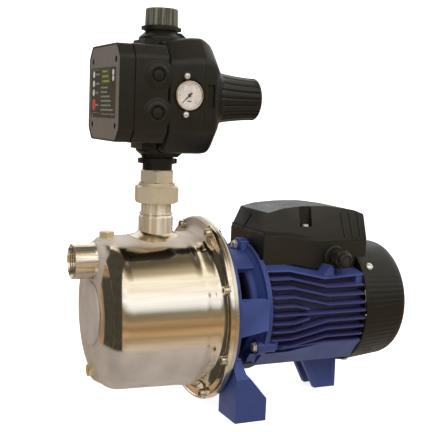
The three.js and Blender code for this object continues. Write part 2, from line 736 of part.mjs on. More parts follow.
function terminalBox() {
  const wall = 2.5;
  const outside = slabY(
    [[BOX_START_X, SKIRT_Z], [104, SKIRT_Z], [143, LOW_SKIRT_Z], [MOTOR_END_X, LOW_SKIRT_Z],
      [MOTOR_END_X, SKIRT_Z], [BOX_END_X, SKIRT_Z], ...SEAM.toReversed()],
    -BOX_HALF_WIDTH,
    BOX_HALF_WIDTH,
  );
  const room = block(BOX_START_X + wall, BOX_END_X - wall, -BOX_HALF_WIDTH + wall, BOX_HALF_WIDTH - wall,
    FLOOR_Z + wall, 95);
  const sideRoom = block(BOX_START_X + wall, BOX_END_X - wall, 36, BOX_HALF_WIDTH - wall, 55.5, 80);
  const motorRoom = join(
    barX(ROOT_RADIUS + GAP, BOX_START_X - 1, MOTOR_END_X + 1, 0, 0, ROUND_SIDES),
    block(BOX_START_X - 1, MOTOR_END_X + 1, -39, 39, 40, SKIRT_Z + 1),
  );
  const channel = block(BOX_START_X - 1, BOX_END_X - wall, -PAD_HALF_WIDTH - GAP - 0.1,
    PAD_HALF_WIDTH + GAP + 0.1, 45, FLOOR_Z);
  const lugHood = block(BOX_START_X, 76, -10, 10, FLOOR_Z, 81);
  const lugRoom = block(BOX_START_X - 1, 73.6, -7.6, 7.6, 60, 78.6);
  const hollow = cut(outside, room, sideRoom, sideRoom.mirror([0, 1, 0]), channel, motorRoom);
  return cut(join(hollow, lugHood), lugRoom, barY(7 + GAP, -50, -40, GLAND_X, GLAND_Z));
}

add("terminal_box", terminalBox(), MATERIAL.blackPlastic);

// The lid's outside, or its inside when inset is the wall thickness.
function lidBlock(inset) {
  const roof = [[200 - inset, 110 - inset], [186, 115 - inset], [150, 119.6 - inset],
    [118, 119.6 - inset], [90, 116.5 - inset], [72 + inset, 111 - inset]];
  const foot = SEAM.map(([x, z]) => [x, z + GAP - inset * 0.4]);
  foot[0][0] += inset;
  foot[foot.length - 1][0] -= inset;
  const sides = slabY([...foot, ...roof], -60, 60);
  const half = BOX_HALF_WIDTH - inset;
  const top = BOX_TOP_HALF_WIDTH - inset;
  return sides.intersect(
    slabX([[-half, 70], [half, 70], [half, 80], [top, 117], [top - 6, 125], [6 - top, 125],
      [-top, 117], [-half, 80]], BOX_START_X - 2, BOX_END_X + 2),
  );
}

const LID_POCKET_Z = 96.5;

function terminalBoxLid() {
  const pocket = block(112, 128, 33.5, 60, LID_POCKET_Z, 130);
  const pocketWall = block(110, 130, 31.5, 45, LID_POCKET_Z - 2, 130).intersect(lidBlock(0));
  const pockets = join(pocket, pocket.mirror([0, 1, 0]));
  const walls = join(pocketWall, pocketWall.mirror([0, 1, 0]));
  return cut(join(cut(lidBlock(0), lidBlock(2.5)), walls), pockets);
}

add("terminal_box_lid", terminalBoxLid(), MATERIAL.blackPlastic);

add(
  "cable_gland",
  join(
    barY(13.2, -50, -BOX_HALF_WIDTH - GAP, GLAND_X, GLAND_Z),
    barY(7, -52, -41.5, GLAND_X, GLAND_Z),
    barY(GLAND_THREAD_RADIUS, -62, -50, GLAND_X, GLAND_Z),
  ),
  MATERIAL.blackPlastic,
);

add(
  "gland_nut",
  cut(
    join(barY(11.6, -69.5, -58, GLAND_X, GLAND_Z, 6), barY(9, -75, -69, GLAND_X, GLAND_Z)),
    barY(GLAND_THREAD_RADIUS + GAP, -62.3, -50, GLAND_X, GLAND_Z),
    barY(4.8, -80, -61, GLAND_X, GLAND_Z),
  ),
  MATERIAL.blackPlastic,
);

add("capacitor", barX(17, 86, 150, 10, 84.5, 24), MATERIAL.innerPlastic);

// ---------------------------------------------------------------- union on the discharge port

add(
  "union_tail",
  cut(
    join(
      barZ(15.9, 92, 110, PORT_X, 0),
      barZ(17, PORT_TOP_Z + GAP, 126, PORT_X, 0, 12),
      barZ(21.6, 124.8, 129, PORT_X),
    ),
    barZ(12.5, 90, 130, PORT_X),
  ),
  MATERIAL.nickel,
);

add(
  "union_nut",
  cut(
    barZ(26, 121.5, 141, PORT_X, 0, 6).intersect(
      turnedZ([[121.5, 0], [121.5, 22.5], [124, 26.5], [138.5, 26.5], [141, 22.5], [141, 0]],
        32, PORT_X),
    ),
    barZ(17.4, 120, 126, PORT_X),
    turnedZ([[124.5, 0], [124.5, 22], [142, 22], [142, 0]], 24, PORT_X),
  ),
  MATERIAL.nickel,
);

add(
  "union_adaptor",
  cut(
    join(barZ(21.6, 129.3, 142, PORT_X), barZ(20.5, 141.5, 158.3, PORT_X, 0, 6)),
    barZ(12.5, 128, 160, PORT_X),
    barZ(PIPE_RADIUS + GAP, 146, 160, PORT_X),
  ),
  MATERIAL.nickel,
);

// ---------------------------------------------------------------- controller

const COVER_SEAM_X = -98;
const DRUM_CHAMFER_Y = 21;
const DRUM_CHAMFER_Z = 25;

function drumOutline() {
  const shape = chamferedRectangle(DRUM_HALF_WIDTH, DRUM_HALF_HEIGHT, DRUM_CHAMFER_Y, DRUM_CHAMFER_Z);
  return lift(shape, CONTROLLER_Z);
}

// A collar round the vertical pipe with a square tab on each side.
function tabbedCollar(z0, z1) {
  return join(
    barZ(19, z0, z1, PORT_X),
    block(PORT_X - 21.5, PORT_X + 21.5, -5, 5, z0, z1),
  );
}

const VALVE_SEAT_Z = 190;
const CHAMBER_RADIUS = 15;

function controllerBody() {
  const drum = taperedDrum([
    [DRUM_START_X, 0.93, 0.91, 0.95],
    [-57, 1, 0.925, 1],
    [-46.6, 1, 0.952, 1],
    [-29.6, 1, 0.994, 1],
    [DRUM_SEAM_X - GAP, 1, 1, 1],
  ]);
  const pipe = barZ(PIPE_RADIUS, 147, 312, PORT_X, 0, 28);
  const thread = barZ(14.9, 305, 329, PORT_X);
  const necks = join(
    turnedZ([[171, 0], [171, 18], [176, 24], [182, 24], [182, 0]], 24, PORT_X),
    turnedZ([[298, 0], [298, 24], [304, 24], [309, 18], [309, 0]], 24, PORT_X),
  );
  const gaugeFlat = block(-58, DRUM_SEAM_X, -DRUM_HALF_WIDTH - 1, -DRUM_HALF_WIDTH + 1.5,
    CONTROLLER_Z - 18, CONTROLLER_Z + 18);
  const mountTabs = join(
    block(-76, DRUM_START_X + 1, -19, 19, 291.6, 299),
    block(-76, DRUM_START_X + 1, -19, 19, 181, 188.4),
  );
  const collars = join(tabbedCollar(165.4, 171.4), tabbedCollar(309.2, 314));
  const body = join(drum, pipe, thread, necks, collars, mountTabs);
  const channel = join(
    barZ(12.5, 140, VALVE_SEAT_Z, PORT_X),
    barZ(CHAMBER_RADIUS, VALVE_SEAT_Z, 290, PORT_X),
    barZ(11.5, 280, 340, PORT_X),
    barX(29, PORT_X + 5, DRUM_SEAM_X + 1, 0, CONTROLLER_Z, 20),
  );
  const gaugeSeat = barY(5 + GAP, -60, -30, GAUGE_X, CONTROLLER_Z, 20);
  return cut(body, channel, gaugeFlat, gaugeSeat);
}

add("controller_body", controllerBody(), MATERIAL.blackPlastic);

function rearHousing() {
  const slices = [
    [DRUM_SEAM_X, 1, 1, 1],
    [-15, 1, 0.98, 1],
    [-9, 1, 0.915, 0.985],
    [-5.5, 0.97, 0.85, 0.95],
    [0, 0.85, 0.72, 0.84],
    [4, 0.7, 0.6, 0.72],
    [16, 0.44, 0.44, 0.44],
  ];
  const cone = turnedX(
    [[4, 0], [4, 36], [9, 32.5], [14, 30], [20, 28.2], [28, 26.9], [37, 25.7], [50, 24.4],
      [TAIL_END_X, 23.6], [TAIL_END_X, 0]],
    24,
  ).translate([0, 0, CONTROLLER_Z]);
  const hollow = join(
    barX(30, DRUM_SEAM_X - 1, 4, 0, CONTROLLER_Z),
    turnedX([[3, 0], [3, 25], [30, 20], [60, 19], [60, 0]], 24).translate([0, 0, CONTROLLER_Z]),
  );
  return cut(join(taperedDrum(slices), cone), hollow);
}

// The drum's outline carried along X through slices of [x, scale across, scale above the
// controller's axis, scale below it].
function taperedDrum(slices) {
  const rings = slices.map(([x, across, above, below]) => drumOutline().map(([y, z]) => {
    const rise = z - CONTROLLER_Z;
    return [x, y * across, CONTROLLER_Z + rise * (rise > 0 ? above : below)];
  }));
  return join(...rings.slice(1).map((ring, i) => bridged(rings[i], ring)));
}

// A closed solid between two rings of as many [x, y, z] points.
function bridged(first, second) {
  const count = first.length;
  const index = [];
  for (let i = 0; i < count; i += 1) {
    const next = (i + 1) % count;
    index.push(i, next, count + next, i, count + next, count + i);
  }
  for (let i = 1; i + 1 < count; i += 1) {
    index.push(0, i + 1, i);
    index.push(count, count + i, count + i + 1);
  }
  const geometry = new THREE.BufferGeometry();
  const positions = [...first, ...second].flat();
  geometry.setAttribute("position", new THREE.Float32BufferAttribute(positions, 3));
  geometry.setIndex(index);
  return solid(geometry);
}

add("rear_housing", rearHousing(), MATERIAL.blackPlastic);

// The outline of the electronics box and its cover, drawn in by inset on every side.
function panelOutline(inset) {
  return lift(
    chamferedRectangle(
      PANEL_HALF_WIDTH - inset,
      PANEL_HALF_HEIGHT - inset,
      PANEL_CHAMFER_Y - inset / 4,
      PANEL_CHAMFER_Z - inset / 4,
    ),
    CONTROLLER_Z,
  );
}

const ENTRY_X = -73;
const ENTRY_RADIUS = 8.5;
const ENTRY_Z = [CONTROLLER_Z + 19.4, CONTROLLER_Z - 19.4];
const BOX_GROWTH = 0.5; // how far the electronics box stands out beyond its cover

function electronicsBox() {
  const outside = slabX(panelOutline(-BOX_GROWTH - 2), COVER_SEAM_X, DRUM_START_X - GAP)
    .intersect(block(-200, 0, -PANEL_HALF_WIDTH - BOX_GROWTH, PANEL_HALF_WIDTH + BOX_GROWTH, 100, 400));
  const room = slabX(panelOutline(3), COVER_SEAM_X - 1, DRUM_START_X - 3);
  const pipeRoom = barZ(24.5, 150, 330, PORT_X);
  const behindPipe = barZ(26.5, 186, 294, PORT_X).intersect(outside);
  const entries = ENTRY_Z.map((z) => barY(
    ENTRY_RADIUS,
    -PANEL_HALF_WIDTH - 2.5,
    -PANEL_HALF_WIDTH + 2,
    ENTRY_X,
    z,
  ));
  const tabRoom = join(
    block(-80, DRUM_START_X + 1, -20.3, 20.3, 291.3, 300),
    block(-80, DRUM_START_X + 1, -20.3, 20.3, 180, 188.7),
  );
  return cut(join(cut(outside, room), behindPipe, ...entries), pipeRoom, tabRoom);
}

add("electronics_box", electronicsBox(), MATERIAL.blackPlastic);

function boxCover() {
  return cut(
    slabX(panelOutline(-0.5), PANEL_X, COVER_SEAM_X - GAP),
    slabX(panelOutline(1), PANEL_X - 1, PANEL_X + 2.2),
    slabX(panelOutline(4), PANEL_X + 5, COVER_SEAM_X + 1),
    barX(BUTTON_RADIUS + 1.6, PANEL_X, PANEL_X + 6, BUTTON_Y, BUTTON_Z, 20),
  );
}

add("box_cover", boxCover(), MATERIAL.blackPlastic);

add(
  "control_panel",
  cut(
    slabX(panelOutline(1.4), PANEL_X + 0.4, PANEL_X + 1.9),
    barX(BUTTON_RADIUS + 0.4, PANEL_X - 1, PANEL_X + 3, BUTTON_Y, BUTTON_Z, 20),
  ),
  MATERIAL.greyPanel,
);

add(
  "reset_button",
  join(
    barX(BUTTON_RADIUS, PANEL_X - 0.6, PANEL_X + 4, BUTTON_Y, BUTTON_Z, 20),
    barX(BUTTON_RADIUS + 1.1, PANEL_X + 2.4, PANEL_X + 4.2, BUTTON_Y, BUTTON_Z, 20),
  ),
  MATERIAL.redButton,
);

// ---------------------------------------------------------------- pressure gauge

const GAUGE_FACE_Y = -DRUM_HALF_WIDTH - 2.4;

add(
  "gauge_case",
  cut(
    join(barY(15.6, GAUGE_FACE_Y, -55.9, GAUGE_X, CONTROLLER_Z, 32),
      barY(5, -57, -34, GAUGE_X, CONTROLLER_Z)),
    barY(14.2, GAUGE_FACE_Y - 1, GAUGE_FACE_Y + 2, GAUGE_X, CONTROLLER_Z, 32),
  ),
  MATERIAL.whiteDial,
);

const POINTER_ANGLE = 225; // degrees from straight up, clockwise as the dial is read

function gaugePointer() {
  const needle = slabY([[-1.1, -4], [1.1, -4], [0.4, 11], [-0.4, 11]], -0.4, 0.4);
  return join(needle, barY(2, -0.4, 0.4, 0, 0, 12)).rotate([0, POINTER_ANGLE, 0]);
}

const pointer = add("gauge_pointer", geometryOf(gaugePointer()), MATERIAL.darkPointer);
pointer.position.set(GAUGE_X, GAUGE_FACE_Y + 1.1, CONTROLLER_Z);

// ---------------------------------------------------------------- valves and outlet cap

add(
  "check_valve",
  join(barZ(13.8, VALVE_SEAT_Z + GAP, VALVE_SEAT_Z + 4, PORT_X, 0, 24),
    barZ(3, VALVE_SEAT_Z - 10, VALVE_SEAT_Z + 24, PORT_X, 0, 12)),
  MATERIAL.innerPlastic,
);

add(
  "pressure_piston",
  join(barX(28.5, -14, -8, 0, CONTROLLER_Z), barX(8, -9, 30, 0, CONTROLLER_Z, 20)),
  MATERIAL.innerPlastic,
);

add(
  "outlet_cap",
  turnedZ([[314.3, 15.2], [CAP_TOP_Z - 2, 15.2], [CAP_TOP_Z - 2, 0], [CAP_TOP_Z, 0],
    [CAP_TOP_Z, CAP_RADIUS - 1.3], [CAP_TOP_Z - 1.4, CAP_RADIUS], [314.3, CAP_RADIUS], [314.3, 15.2]],
    24, PORT_X),
  MATERIAL.greyCap,
);

export default assembly;
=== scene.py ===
"""Looks for the shallow well jet pump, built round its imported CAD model.

Lengths below are millimetres in the shaft frame, unless a name says otherwise: X runs along the
shaft from the pump flange's front face towards the motor, Y points to the far side, and Z points
up from the shaft axis. `at` turns such a place into metres in the row frame.
"""

import math

import bmesh
import bpy
from mathutils import Matrix, Vector


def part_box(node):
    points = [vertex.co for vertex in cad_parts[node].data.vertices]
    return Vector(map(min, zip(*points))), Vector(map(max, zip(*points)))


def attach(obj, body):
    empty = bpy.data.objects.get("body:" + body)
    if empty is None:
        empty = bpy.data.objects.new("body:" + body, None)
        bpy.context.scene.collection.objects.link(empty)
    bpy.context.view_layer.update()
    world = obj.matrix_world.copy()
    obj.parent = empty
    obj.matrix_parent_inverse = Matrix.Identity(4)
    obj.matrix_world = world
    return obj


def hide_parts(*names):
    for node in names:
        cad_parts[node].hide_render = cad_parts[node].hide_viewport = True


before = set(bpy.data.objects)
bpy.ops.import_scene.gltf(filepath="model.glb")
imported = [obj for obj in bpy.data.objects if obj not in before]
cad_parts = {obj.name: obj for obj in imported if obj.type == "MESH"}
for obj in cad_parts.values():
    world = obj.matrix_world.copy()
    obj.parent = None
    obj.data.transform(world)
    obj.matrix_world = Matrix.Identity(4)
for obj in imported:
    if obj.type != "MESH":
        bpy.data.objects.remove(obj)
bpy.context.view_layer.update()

MM = 0.001
PLATE_LOW, PLATE_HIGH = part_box("seal_plate")
PLATE_FRONT = 3.3  # the flange plate's front, from the flange face
ORIGIN = Vector((PLATE_LOW.x - PLATE_FRONT * MM, 0, (PLATE_LOW.z + PLATE_HIGH.z) / 2))


def at(x, y, z):
    return ORIGIN + Vector((x, y, z)) * MM


def low(node):
    """The lowest corner of a CAD node, in the shaft frame."""
    return (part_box(node)[0] - ORIGIN) / MM


def high(node):
    """The highest corner of a CAD node, in the shaft frame."""
    return (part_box(node)[1] - ORIGIN) / MM


def middle(node):
    return (low(node) + high(node)) / 2


# ---------------------------------------------------------------- materials


def linear(red, green, blue):
    """A linear colour from display values of 0 to 255."""
    return tuple(((value / 255 + 0.055) / 1.055) ** 2.4 for value in (red, green, blue))


class Shader:
    """A node material: a Principled surface, its colour, roughness and bump fed by nodes."""

    def __init__(self, name):
        self.material = bpy.data.materials.new(name)
        self.material.use_nodes = True
        self.tree = self.material.node_tree
        self.surface = self.tree.nodes["Principled BSDF"]
        self.place = self.add("ShaderNodeTexCoord").outputs["Object"]

    def add(self, kind, **values):
        node = self.tree.nodes.new(kind)
        for key, value in values.items():
            if hasattr(node, key):
                setattr(node, key, value)
            else:
                node.inputs[key].default_value = value
        return node

    def link(self, source, target):
        self.tree.links.new(source, target)

    def set(self, **values):
        for key, value in values.items():
            self.surface.inputs[key.replace("_", " ")].default_value = value

    def noise(self, scale, detail=3.0, stretch=None):
        """Noise of so many features per metre, stretched along the axes by the given factors."""
        node = self.add("ShaderNodeTexNoise", Scale=scale, Detail=detail)
        if stretch is None:
            self.link(self.place, node.inputs["Vector"])
        else:
            mapping = self.add("ShaderNodeMapping")
            mapping.inputs["Scale"].default_value = stretch
            self.link(self.place, mapping.inputs["Vector"])
            self.link(mapping.outputs["Vector"], node.inputs["Vector"])
        return node.outputs["Fac"]

    def between(self, factor, low_value, high_value, start=0.0, end=1.0):
        """A number that goes from low_value to high_value as factor goes from start to end."""
        node = self.add("ShaderNodeMapRange")
        node.inputs["From Min"].default_value = start
        node.inputs["From Max"].default_value = end
        node.inputs["To Min"].default_value = low_value
        node.inputs["To Max"].default_value = high_value
        self.link(factor, node.inputs["Value"])
        return node.outputs["Result"]

    def math(self, operation, first, second):
        node = self.add("ShaderNodeMath", operation=operation)
        self.link(first, node.inputs[0])
        self.link(second, node.inputs[1])
        return node.outputs[0]

    def blend(self, factor, first, second):
        """A number between two outputs."""
        node = self.add("ShaderNodeMix", data_type="FLOAT")
        self.link(factor, node.inputs[0])
        self.link(first, node.inputs[2])
        self.link(second, node.inputs[3])
        return node.outputs[0]

    def mix(self, factor, first, second):
        node = self.add("ShaderNodeMix", data_type="RGBA")
        self.link(factor, node.inputs[0])
        for socket, colour in ((node.inputs[6], first), (node.inputs[7], second)):
            if isinstance(colour, tuple):
                socket.default_value = (*colour, 1)
            else:
                self.link(colour, socket)
        return node.outputs[2]

    def colour(self, output):
        self.link(output, self.surface.inputs["Base Color"])

    def roughness(self, output):
        self.link(output, self.surface.inputs["Roughness"])

    def bump(self, heights, distance=0.0002, strength=0.3):
        """Bumps from the sum of some height outputs."""
        total = heights[0]
        for height in heights[1:]:
            total = self.math("ADD", total, height)
        node = self.add("ShaderNodeBump", Strength=strength, Distance=distance)
        self.link(total, node.inputs["Height"])
        self.link(node.outputs["Normal"], self.surface.inputs["Normal"])

    def edges(self, start=0.52, end=0.6):
        """Near 1 on outer edges and near 0 elsewhere."""
        geometry = self.add("ShaderNodeNewGeometry")
        return self.between(geometry.outputs["Pointiness"], 0, 1, start, end)


def steel(name, tint, smooth, rough, grain=900, strength=0.08, metallic=1.0):
    """Bare metal whose polish varies between smooth and rough."""
    shader = Shader(name)
    shader.set(Metallic=metallic)
    cloud = shader.noise(35, 4)
    fine = shader.noise(grain, 2)
    darker = tuple(value * 0.86 for value in tint)
    shader.colour(shader.mix(shader.between(cloud, 0, 1, 0.35, 0.65), tint, darker))
    shader.roughness(shader.between(fine, smooth, rough, 0.3, 0.7))
    shader.bump([fine], 0.00005, strength)
    return shader.material


def streaked(name, light, dark, roughness, metallic, stretch):
    """A turned or drawn surface whose colour runs in streaks along one axis; on the outlet cap the light
    streaks are painted highlights.
    """
    shader = Shader(name)
    shader.set(Metallic=metallic)
    streaks = shader.noise(55, 4, stretch)
    shader.colour(shader.mix(shader.between(streaks, 0, 1, 0.42, 0.58), light, dark))
    shader.roughness(shader.between(shader.noise(80, 3), roughness - 0.04, roughness + 0.04, 0.3, 0.7))
    shader.bump([shader.noise(500, 2)], 0.00005, 0.04)
    return shader.material


def plastic(name, colour, roughness, grain=1800, strength=0.25, lighter=1.5, shine=0.5):
    """Moulded plastic with a spark-eroded grain, paler on its edges: partly wear, partly a painted highlight.
    """
    shader = Shader(name)
    pale = tuple(min(1, value * lighter + 0.002) for value in colour)
    cloud = shader.noise(22, 3)
    toned = shader.mix(shader.between(cloud, 0, 0.35, 0.3, 0.7), colour, pale)
    # the paler edges are partly wear and partly a painted highlight
    shader.colour(shader.mix(shader.edges(), toned, pale))
    shader.roughness(shader.between(shader.noise(60, 3), roughness - 0.06, roughness + 0.08, 0.3, 0.7))
    shader.set(Specular_IOR_Level=shine, Specular_Tint=(1, 0.9, 0.76, 1))
    shader.bump([shader.noise(grain, 2)], 0.00008, strength)
    return shader.material


def paint(name, colour, roughness):
    """Sprayed enamel: a slight orange peel under a thin gloss coat, paler on its edges: partly thinner
    enamel, partly a painted highlight.
    """
    shader = Shader(name)
    pale = tuple(value * 1.45 + 0.01 for value in colour)
    deep = tuple(value * 0.8 for value in colour)
    cloud = shader.noise(30, 4)
    toned = shader.mix(shader.between(cloud, 0, 1, 0.3, 0.7), deep, colour)
    # the paler edges are partly thinner enamel and partly a painted highlight
    shader.colour(shader.mix(shader.edges(0.53, 0.62), toned, pale))
    shader.roughness(shader.between(shader.noise(90, 3), roughness - 0.05, roughness + 0.1, 0.3, 0.7))
    shader.set(Coat_Weight=0.15, Coat_Roughness=0.22, Specular_IOR_Level=0.4, Specular_Tint=(0.6, 0.65, 1, 1))
    shader.bump([shader.noise(420, 2), shader.noise(2200, 1)], 0.00012, 0.18)
    return shader.material


SATIN_TOP_Z = 76  # above this and below the next height, the casing is blasted, not polished
SATIN_LOW_Z = -22
SATIN_FRONT_X = -112  # so is its front, on the far side of the next line
SATIN_FRONT_Y = -35
SATIN_BACK_X = -12  # the flange behind this is polished, but for the far side of its top


def casing_steel():
    """Polished deep-drawn steel, blasted along its top, below its middle and round its front plate."""
    shader = Shader("casing_steel")
    split = shader.add("ShaderNodeSeparateXYZ")
    shader.link(shader.place, split.inputs[0])
    along, across, height = split.outputs

    def beyond(output, value, zero, sign):
        """0 to 1 within a few millimetres, past a value in the direction of the sign."""
        return shader.between(output, 0, 1, zero + value * MM, zero + (value + 4 * sign) * MM)

    body = beyond(along, SATIN_BACK_X, ORIGIN.x, -1)
    far_side = beyond(across, SATIN_FRONT_Y, ORIGIN.y, 1)
    top = shader.math("MULTIPLY", beyond(height, SATIN_TOP_Z, ORIGIN.z, 1), shader.math("MAXIMUM", body,
        far_side))
    bottom = shader.math("MULTIPLY", beyond(height, SATIN_LOW_Z, ORIGIN.z, -1), body)
    front = shader.math("MULTIPLY", beyond(along, SATIN_FRONT_X, ORIGIN.x, -1), far_side)
    satin = shader.math("MAXIMUM", shader.math("MAXIMUM", top, bottom), front)
    streaks = shader.noise(30, 4, (0.2, 4, 4))
    drawn = shader.between(streaks, 0, 1, 0.35, 0.65)
    polished = shader.mix(drawn, linear(234, 224, 206), linear(214, 200, 178))
    blasted = shader.mix(shader.between(shader.noise(30, 4), 0, 1, 0.35, 0.65), linear(220, 207, 196),
                         linear(202, 188, 175))
    shader.colour(shader.mix(satin, polished, blasted))
    gloss = shader.between(streaks, 0.09, 0.12, 0.3, 0.7)
    matt = shader.between(shader.noise(25, 2), 0.44, 0.52, 0.3, 0.7)
    shader.roughness(shader.blend(satin, gloss, matt))
    shader.link(shader.between(satin, 1.0, 0.35), shader.surface.inputs["Metallic"])
    grit = shader.math("MULTIPLY", shader.noise(2600, 2), satin)
    shader.bump([grit], 0.00005, 0.1)
    return shader.material


def dial_face():
    """White printed card with a faint mottle."""
    shader = Shader("dial_face")
    white = linear(218, 208, 199)
    shade = linear(198, 187, 176)
    shader.colour(shader.mix(shader.between(shader.noise(160, 3), 0, 1, 0.3, 0.7), white, shade))
    shader.set(Roughness=0.35, Coat_Weight=0.6, Coat_Roughness=0.05)
    shader.bump([shader.noise(900, 2)], 0.00003, 0.1)
    return shader.material


def clear_window():
    """Thin clear plastic."""
    shader = Shader("clear_window")
    shader.set(Roughness=0.04, Transmission_Weight=1.0, IOR=1.2)
    shader.colour(shader.mix(shader.noise(40, 2), (0.97, 0.97, 0.96), (0.93, 0.93, 0.92)))
    shader.bump([shader.noise(60, 2)], 0.00002, 0.05)
    return shader.material


CASING_STEEL = casing_steel()
SATIN_STEEL = steel("satin_steel", linear(218, 205, 195), 0.5, 0.6, 1500, 0.08, 0.3)
BRUSHED_STEEL = steel("brushed_steel", linear(205, 196, 184), 0.27, 0.4, 1500, 0.1)
RIM_STEEL = steel("rim_steel", linear(218, 208, 188), 0.16, 0.28, 700, 0.04)
NICKEL = steel("nickel_plate", linear(228, 212, 184), 0.3, 0.38, 500, 0.02, 0.4)
SOCKET_STEEL = streaked("socket_steel", linear(255, 248, 234), linear(216, 196, 166), 0.26, 0.4, (4, 4, 0.15))
SUCTION_STEEL = streaked("suction_steel", linear(248, 238, 222), linear(206, 188, 160), 0.2, 0.85, (0.2, 8,
    8))
NECK_STEEL = steel("neck_steel", linear(214, 198, 172), 0.16, 0.26, 500, 0.02)
CHROME = steel("chrome", linear(245, 240, 232), 0.12, 0.2, 600, 0.02, 0.6)
BRASS = steel("brass", linear(240, 222, 182), 0.3, 0.42, 900, 0.03, 0.7)
BLUE_PAINT = paint("blue_paint", linear(60, 74, 131), 0.4)
# a darker copy of the frame's blue enamel: painted shade on the fins
FIN_PAINTED_SHADE = paint("fin_painted_shade", linear(58, 58, 104), 0.44)
# a darker, greyer copy of the same enamel: painted shade in the roots between the fins
ROOT_PAINTED_SHADE = paint("root_painted_shade", linear(58, 58, 84), 0.55)
# a near-black copy of the blue enamel: painted shade in the bracket's hollows
PAINTED_SHADE_BLUE = paint("painted_shade_blue", linear(24, 26, 42), 0.6)
BLACK_PLASTIC = plastic("black_plastic", linear(34, 32, 27), 0.36, shine=0.32)
COVER_PLASTIC = plastic("cover_plastic", linear(26, 25, 20), 0.42, shine=0.26)
CONTROLLER_PLASTIC = plastic("controller_plastic", linear(27, 26, 21), 0.34, shine=0.32)
# near-black plastic: painted shade inside seams and in the panel's screw holes
PAINTED_GAP_SHADE = plastic("painted_gap_shade", linear(16, 15, 13), 0.7)
GREY_PANEL = plastic("grey_panel", linear(112, 104, 99), 0.42, 2200, 0.12, 1.2)
LABEL_BLACK = plastic("label_black", linear(30, 28, 26), 0.3, 2600, 0.05, 1.2)
LABEL_WHITE = plastic("label_white", linear(214, 208, 200), 0.4, 2000, 0.05, 1.1)
LABEL_GREY = plastic("label_grey", linear(150, 146, 140), 0.4, 2000, 0.05, 1.1)
LABEL_OLIVE = plastic("label_olive", linear(66, 64, 30), 0.4, 2000, 0.05, 1.2)
OLIVE_INK = plastic("olive_ink", linear(158, 152, 64), 0.4, 2000, 0.05, 1.2)
RED_PLASTIC = plastic("red_plastic", linear(196, 66, 58), 0.25, 1500, 0.05, 1.2)
# the light streaks along the cap are painted highlights
CAP_PLASTIC = streaked("cap_plastic", linear(122, 118, 104), linear(66, 64, 50), 0.28, 0.0, (8, 8, 0.2))
DIAL_FACE = dial_face()
DARK_INK = plastic("dark_ink", linear(40, 38, 36), 0.5)
WINDOW = clear_window()
RUBBER = plastic("rubber", (0.012, 0.012, 0.012), 0.6)
INNER_PLASTIC = plastic("inner_plastic", linear(60, 58, 54), 0.45)
LAMINATION = steel("lamination_steel", linear(150, 146, 140), 0.35, 0.5, 1200, 0.2)
CERAMIC = plastic("ceramic", linear(214, 208, 196), 0.25, 1500, 0.05, 1.05)

CARRIED_OVER = {
    "polished_steel": CASING_STEEL,
    "steel": BRUSHED_STEEL,
    "nickel": NICKEL,
    "brass": BRASS,
    "blue_paint": BLUE_PAINT,
    "black_plastic": BLACK_PLASTIC,
    "grey_panel": GREY_PANEL,
    "red_button": RED_PLASTIC,
    "cap_plastic": CAP_PLASTIC,
    "dial": DIAL_FACE,
    "pointer": DARK_INK,
    "rubber": RUBBER,
    "inner_plastic": INNER_PLASTIC,
    "lamination": LAMINATION,
    "ceramic": CERAMIC,
}


# ---------------------------------------------------------------- shape helpers


def smooth(value, start, end):
    """0 before start, 1 after end, and an even S-curve between."""
    t = min(1.0, max(0.0, (value - start) / (end - start)))
    return t * t * (3 - 2 * t)


def rounded(points, closed=False, steps=5):
    """An outline of (u, v) or (u, v, radius) points, with a curve at each corner that has a radius."""
    result = []
    count = len(points)
    for i, point in enumerate(points):
        is_end = not closed and i in (0, count - 1)
        if len(point) == 2 or is_end:
            result.append(tuple(point[:2]))
            continue
        here = Vector(point[:2])
        before = Vector(points[i - 1][:2]) - here
        after = Vector(points[(i + 1) % count][:2]) - here
        reach = min(point[2], before.length * 0.49, after.length * 0.49)
        start = here + before.normalized() * reach
        end = here + after.normalized() * reach
        for k in range(steps + 1):
            t = k / steps
            spot = start * (1 - t) ** 2 + here * 2 * t * (1 - t) + end * t * t
            result.append((spot.x, spot.y))
    return result


def circle(radius, centre=(0, 0), count=48, start=0.0):
    return [
        (
            centre[0] + radius * math.sin(start + 2 * math.pi * i / count),
            centre[1] + radius * math.cos(start + 2 * math.pi * i / count),
        )
        for i in range(count)
    ]


def rectangle(half_width, half_height, corner_u, corner_v, centre=(0, 0), ease=2.0):
    """A rectangle with cut corners, each new corner eased by a small radius."""
    corners = []
    for su, sv, flip in ((1, 1, False), (-1, 1, True), (-1, -1, False), (1, -1, True)):
        pair = [
            (su * half_width, sv * (half_height - corner_v)),
            (su * (half_width - corner_u), sv * half_height),
        ]
        corners += reversed(pair) if flip else pair
    moved = [(centre[0] + u, centre[1] + v, ease) for u, v in corners]
    return rounded(moved, closed=True, steps=3)


def spin_place(axis, along, radius, angle, centre):
    """The place at an angle from the top (or from +X for a vertical axis) round an axis."""
    if axis == "X":
        return Vector((along, centre[0] - radius * math.sin(angle), centre[1] + radius * math.cos(angle)))
    if axis == "Y":
        return Vector((centre[0] + radius * math.sin(angle), along, centre[1] + radius * math.cos(angle)))
    return Vector((centre[0] + radius * math.cos(angle), centre[1] + radius * math.sin(angle), along))


